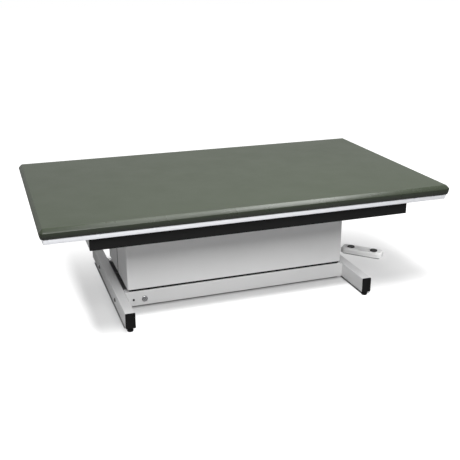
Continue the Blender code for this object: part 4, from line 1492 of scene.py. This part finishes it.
@dataclass
class Studio:
    """A white floor, soft light from above and from the front, and a camera at the photograph's place."""

    eye: Place = (-1.26003, -3.72629, 1.71754)
    yaw: float = math.radians(19.21)
    pitch: float = math.radians(19.92)
    focal_length: float = 57.05
    sensor: float = 36.0
    far_end: float = 200.0
    sky: float = 0.09
    floor_colour: float = 0.42
    floor_level: float = -0.0002
    floor_reach: float = 60.0
    mirrored_glow: float = 0.10
    shades: tuple[PaintedFloorShadow, ...] = (
        # soft painted shadows round the base: in front of it and under it, left of the left foot, and right
        # of the right foot
        PaintedFloorShadow((-0.70, -0.39), (0.80, 0.62), (0.06, 0.20, 0.11, 0.25), 0.24),
        PaintedFloorShadow((-0.894, -0.68), (-0.60, 1.13), (0.11, 0.06, 0.345, 1.45), 0.33),
        PaintedFloorShadow((0.60, -0.626), (1.386, 0.89), (0.10, 0.31, 0.36, 1.15), 0.38),
        # painted contact shadows with no lift: under and behind the front base rail, under each foot, and
        # under the foot control
        PaintedFloorShadow((-0.632, -0.227), (0.632, 0.42), (0.004, 0.004, 0.006, 0.10), 0.0),
        PaintedFloorShadow((-0.686, -0.470), (-0.62, 0.50), (0.004, 0.004, 0.03, 0.05), 0.0),
        PaintedFloorShadow((0.646, -0.490), (0.70, 0.50), (0.004, 0.004, 0.02, 0.05), 0.0),
        PaintedFloorShadow((0.490, 0.671), (0.738, 0.76), (0.02, 0.004, 0.003, 0.004), 0.0, math.radians(-46)),
    )
    lamps: tuple[SoftBox, ...] = (
        SoftBox("edge_box_right", (1.35, -1.25, 3.2), (0.2, -0.6, 0.6), (1.1, 1.0), 49.0),
        SoftBox("edge_box_left", (0.1, -1.25, 3.2), (-0.2, -0.6, 0.6), (1.2, 1.0), 20.5),
        SoftBox("top_box", (0.2, 0.6, 3.4), (0.1, 0.2, 0.6), (2.0, 1.5), 30.0),
        SoftBox("front_box", (-0.6, -3.3, 2.95), (0.0, -0.3, 0.25), (2.2, 1.6), 152.0),
        SoftBox("left_box", (-3.4, -1.2, 0.8), (0.0, 0.0, 0.2), (1.6, 1.0), 9.0),
        SoftBox("rear_box", (0.0, 3.9, 0.3), (0.0, 0.0, 0.28), (1.6, 0.5), 60.0, REAR_PIECES),
        SoftBox("foot_box", (-2.6, -2.2, 0.5), (-0.68, -0.3, 0.06), (0.8, 0.6), 14.0, ("left_foot",)),
        SoftBox("pedal_box", (1.2, -2.6, 1.4), (0.945, 0.06, 0.03), (0.8, 0.6), 48.0, ("pedal_shell",)),
    )

    def build(self) -> None:
        """Make the floor, the light and the camera."""
        bpy.context.scene.view_settings.view_transform = "Standard"
        self.light_sky()
        self.lay_floor()
        for lamp in self.lamps:
            lamp.hang()
        self.set_camera()

    def light_sky(self) -> None:
        """An even white sky, at full white where it is seen."""
        world = bpy.data.worlds.new("studio")
        bpy.context.scene.world = world
        world.use_nodes = True
        tree = NodeTree(world.node_tree)
        path = tree.add("ShaderNodeLightPath").outputs
        mirrored = tree.math("MAXIMUM", path["Is Glossy Ray"], path["Is Transmission Ray"])
        seen = tree.math("MAXIMUM", path["Is Camera Ray"], mirrored)
        background = tree.nodes["Background"].inputs
        background["Color"].default_value = (1.0, 1.0, 1.0, 1.0)
        level = tree.out("ShaderNodeMapRange", Value=seen, To_Min=self.sky, To_Max=1.0)
        tree.feed(background["Strength"], level)

    def lay_floor(self) -> None:
        """A matt floor that keeps shadows, lifted to white where it is seen in the open, and lifted less in
        painted shadows.
        """
        half = self.floor_reach / 2
        corners = [(-half, -half, 0), (half, -half, 0), (half, half, 0), (-half, half, 0)]
        mesh = bpy.data.meshes.new("floor")
        mesh.from_pydata(corners, [], [(0, 1, 2, 3)])
        floor = bpy.data.objects.new("floor", mesh)
        floor.location.z = self.floor_level
        bpy.context.scene.collection.objects.link(floor)
        tree = ShaderTree("floor")
        tree.nodes.remove(tree.shader)
        matt = tree.out("ShaderNodeBsdfDiffuse", Color=(self.floor_colour,) * 3 + (1.0,))
        path = tree.add("ShaderNodeLightPath").outputs
        x, y, _ = tree.split(tree.place)
        # the lift is lowered in every painted shadow
        glow = 1.0
        for patch in self.shades:
            glow = tree.math("MINIMUM", glow, patch.glow_at(tree, x, y))
        seen = tree.math("MULTIPLY", path["Is Camera Ray"], glow)
        mirrored = tree.math("MAXIMUM", path["Is Glossy Ray"], path["Is Transmission Ray"])
        mirrored = tree.math("MULTIPLY", mirrored, tree.math("MULTIPLY", glow, self.mirrored_glow))
        light = tree.out("ShaderNodeEmission", Strength=tree.math("ADD", seen, mirrored))
        both = tree.add("ShaderNodeAddShader")
        for socket, shader in zip(both.inputs, (matt, light)):
            tree.feed(socket, shader)
        tree.feed(tree.nodes["Material Output"].inputs["Surface"], both.outputs[0])
        mesh.materials.append(tree.material)

    def set_camera(self) -> None:
        """The level camera that the photograph was taken with."""
        lens = bpy.data.cameras.new("camera")
        lens.sensor_fit = "HORIZONTAL"
        lens.sensor_width = self.sensor
        lens.lens = self.focal_length
        lens.clip_end = self.far_end
        camera = bpy.data.objects.new("camera", lens)
        tilt = Matrix.Rotation(QUARTER - self.pitch, 4, "X")
        camera.matrix_world = Matrix.Translation(self.eye) @ Matrix.Rotation(-self.yaw, 4, "Z") @ tilt
        bpy.context.scene.collection.objects.link(camera)
        bpy.context.scene.camera = camera


def main() -> None:
    """Load the construction, build every sub-assembly on it and light it."""
    logging.basicConfig(level=logging.INFO, format="%(message)s")
    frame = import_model()
    slots = {part["node"]: part["material_slot"] for part in frame["record"]["subparts"]}
    shop = Workshop(frame["nodes"], Finishes().made(), slots)
    for kind in (BaseFrame, LiftColumns, Pedestal, UpperFrame, Deck, Mat, MainsFittings, FootControl):
        kind(shop).build()
    Studio().build()


if __name__ == "__main__":
    main()
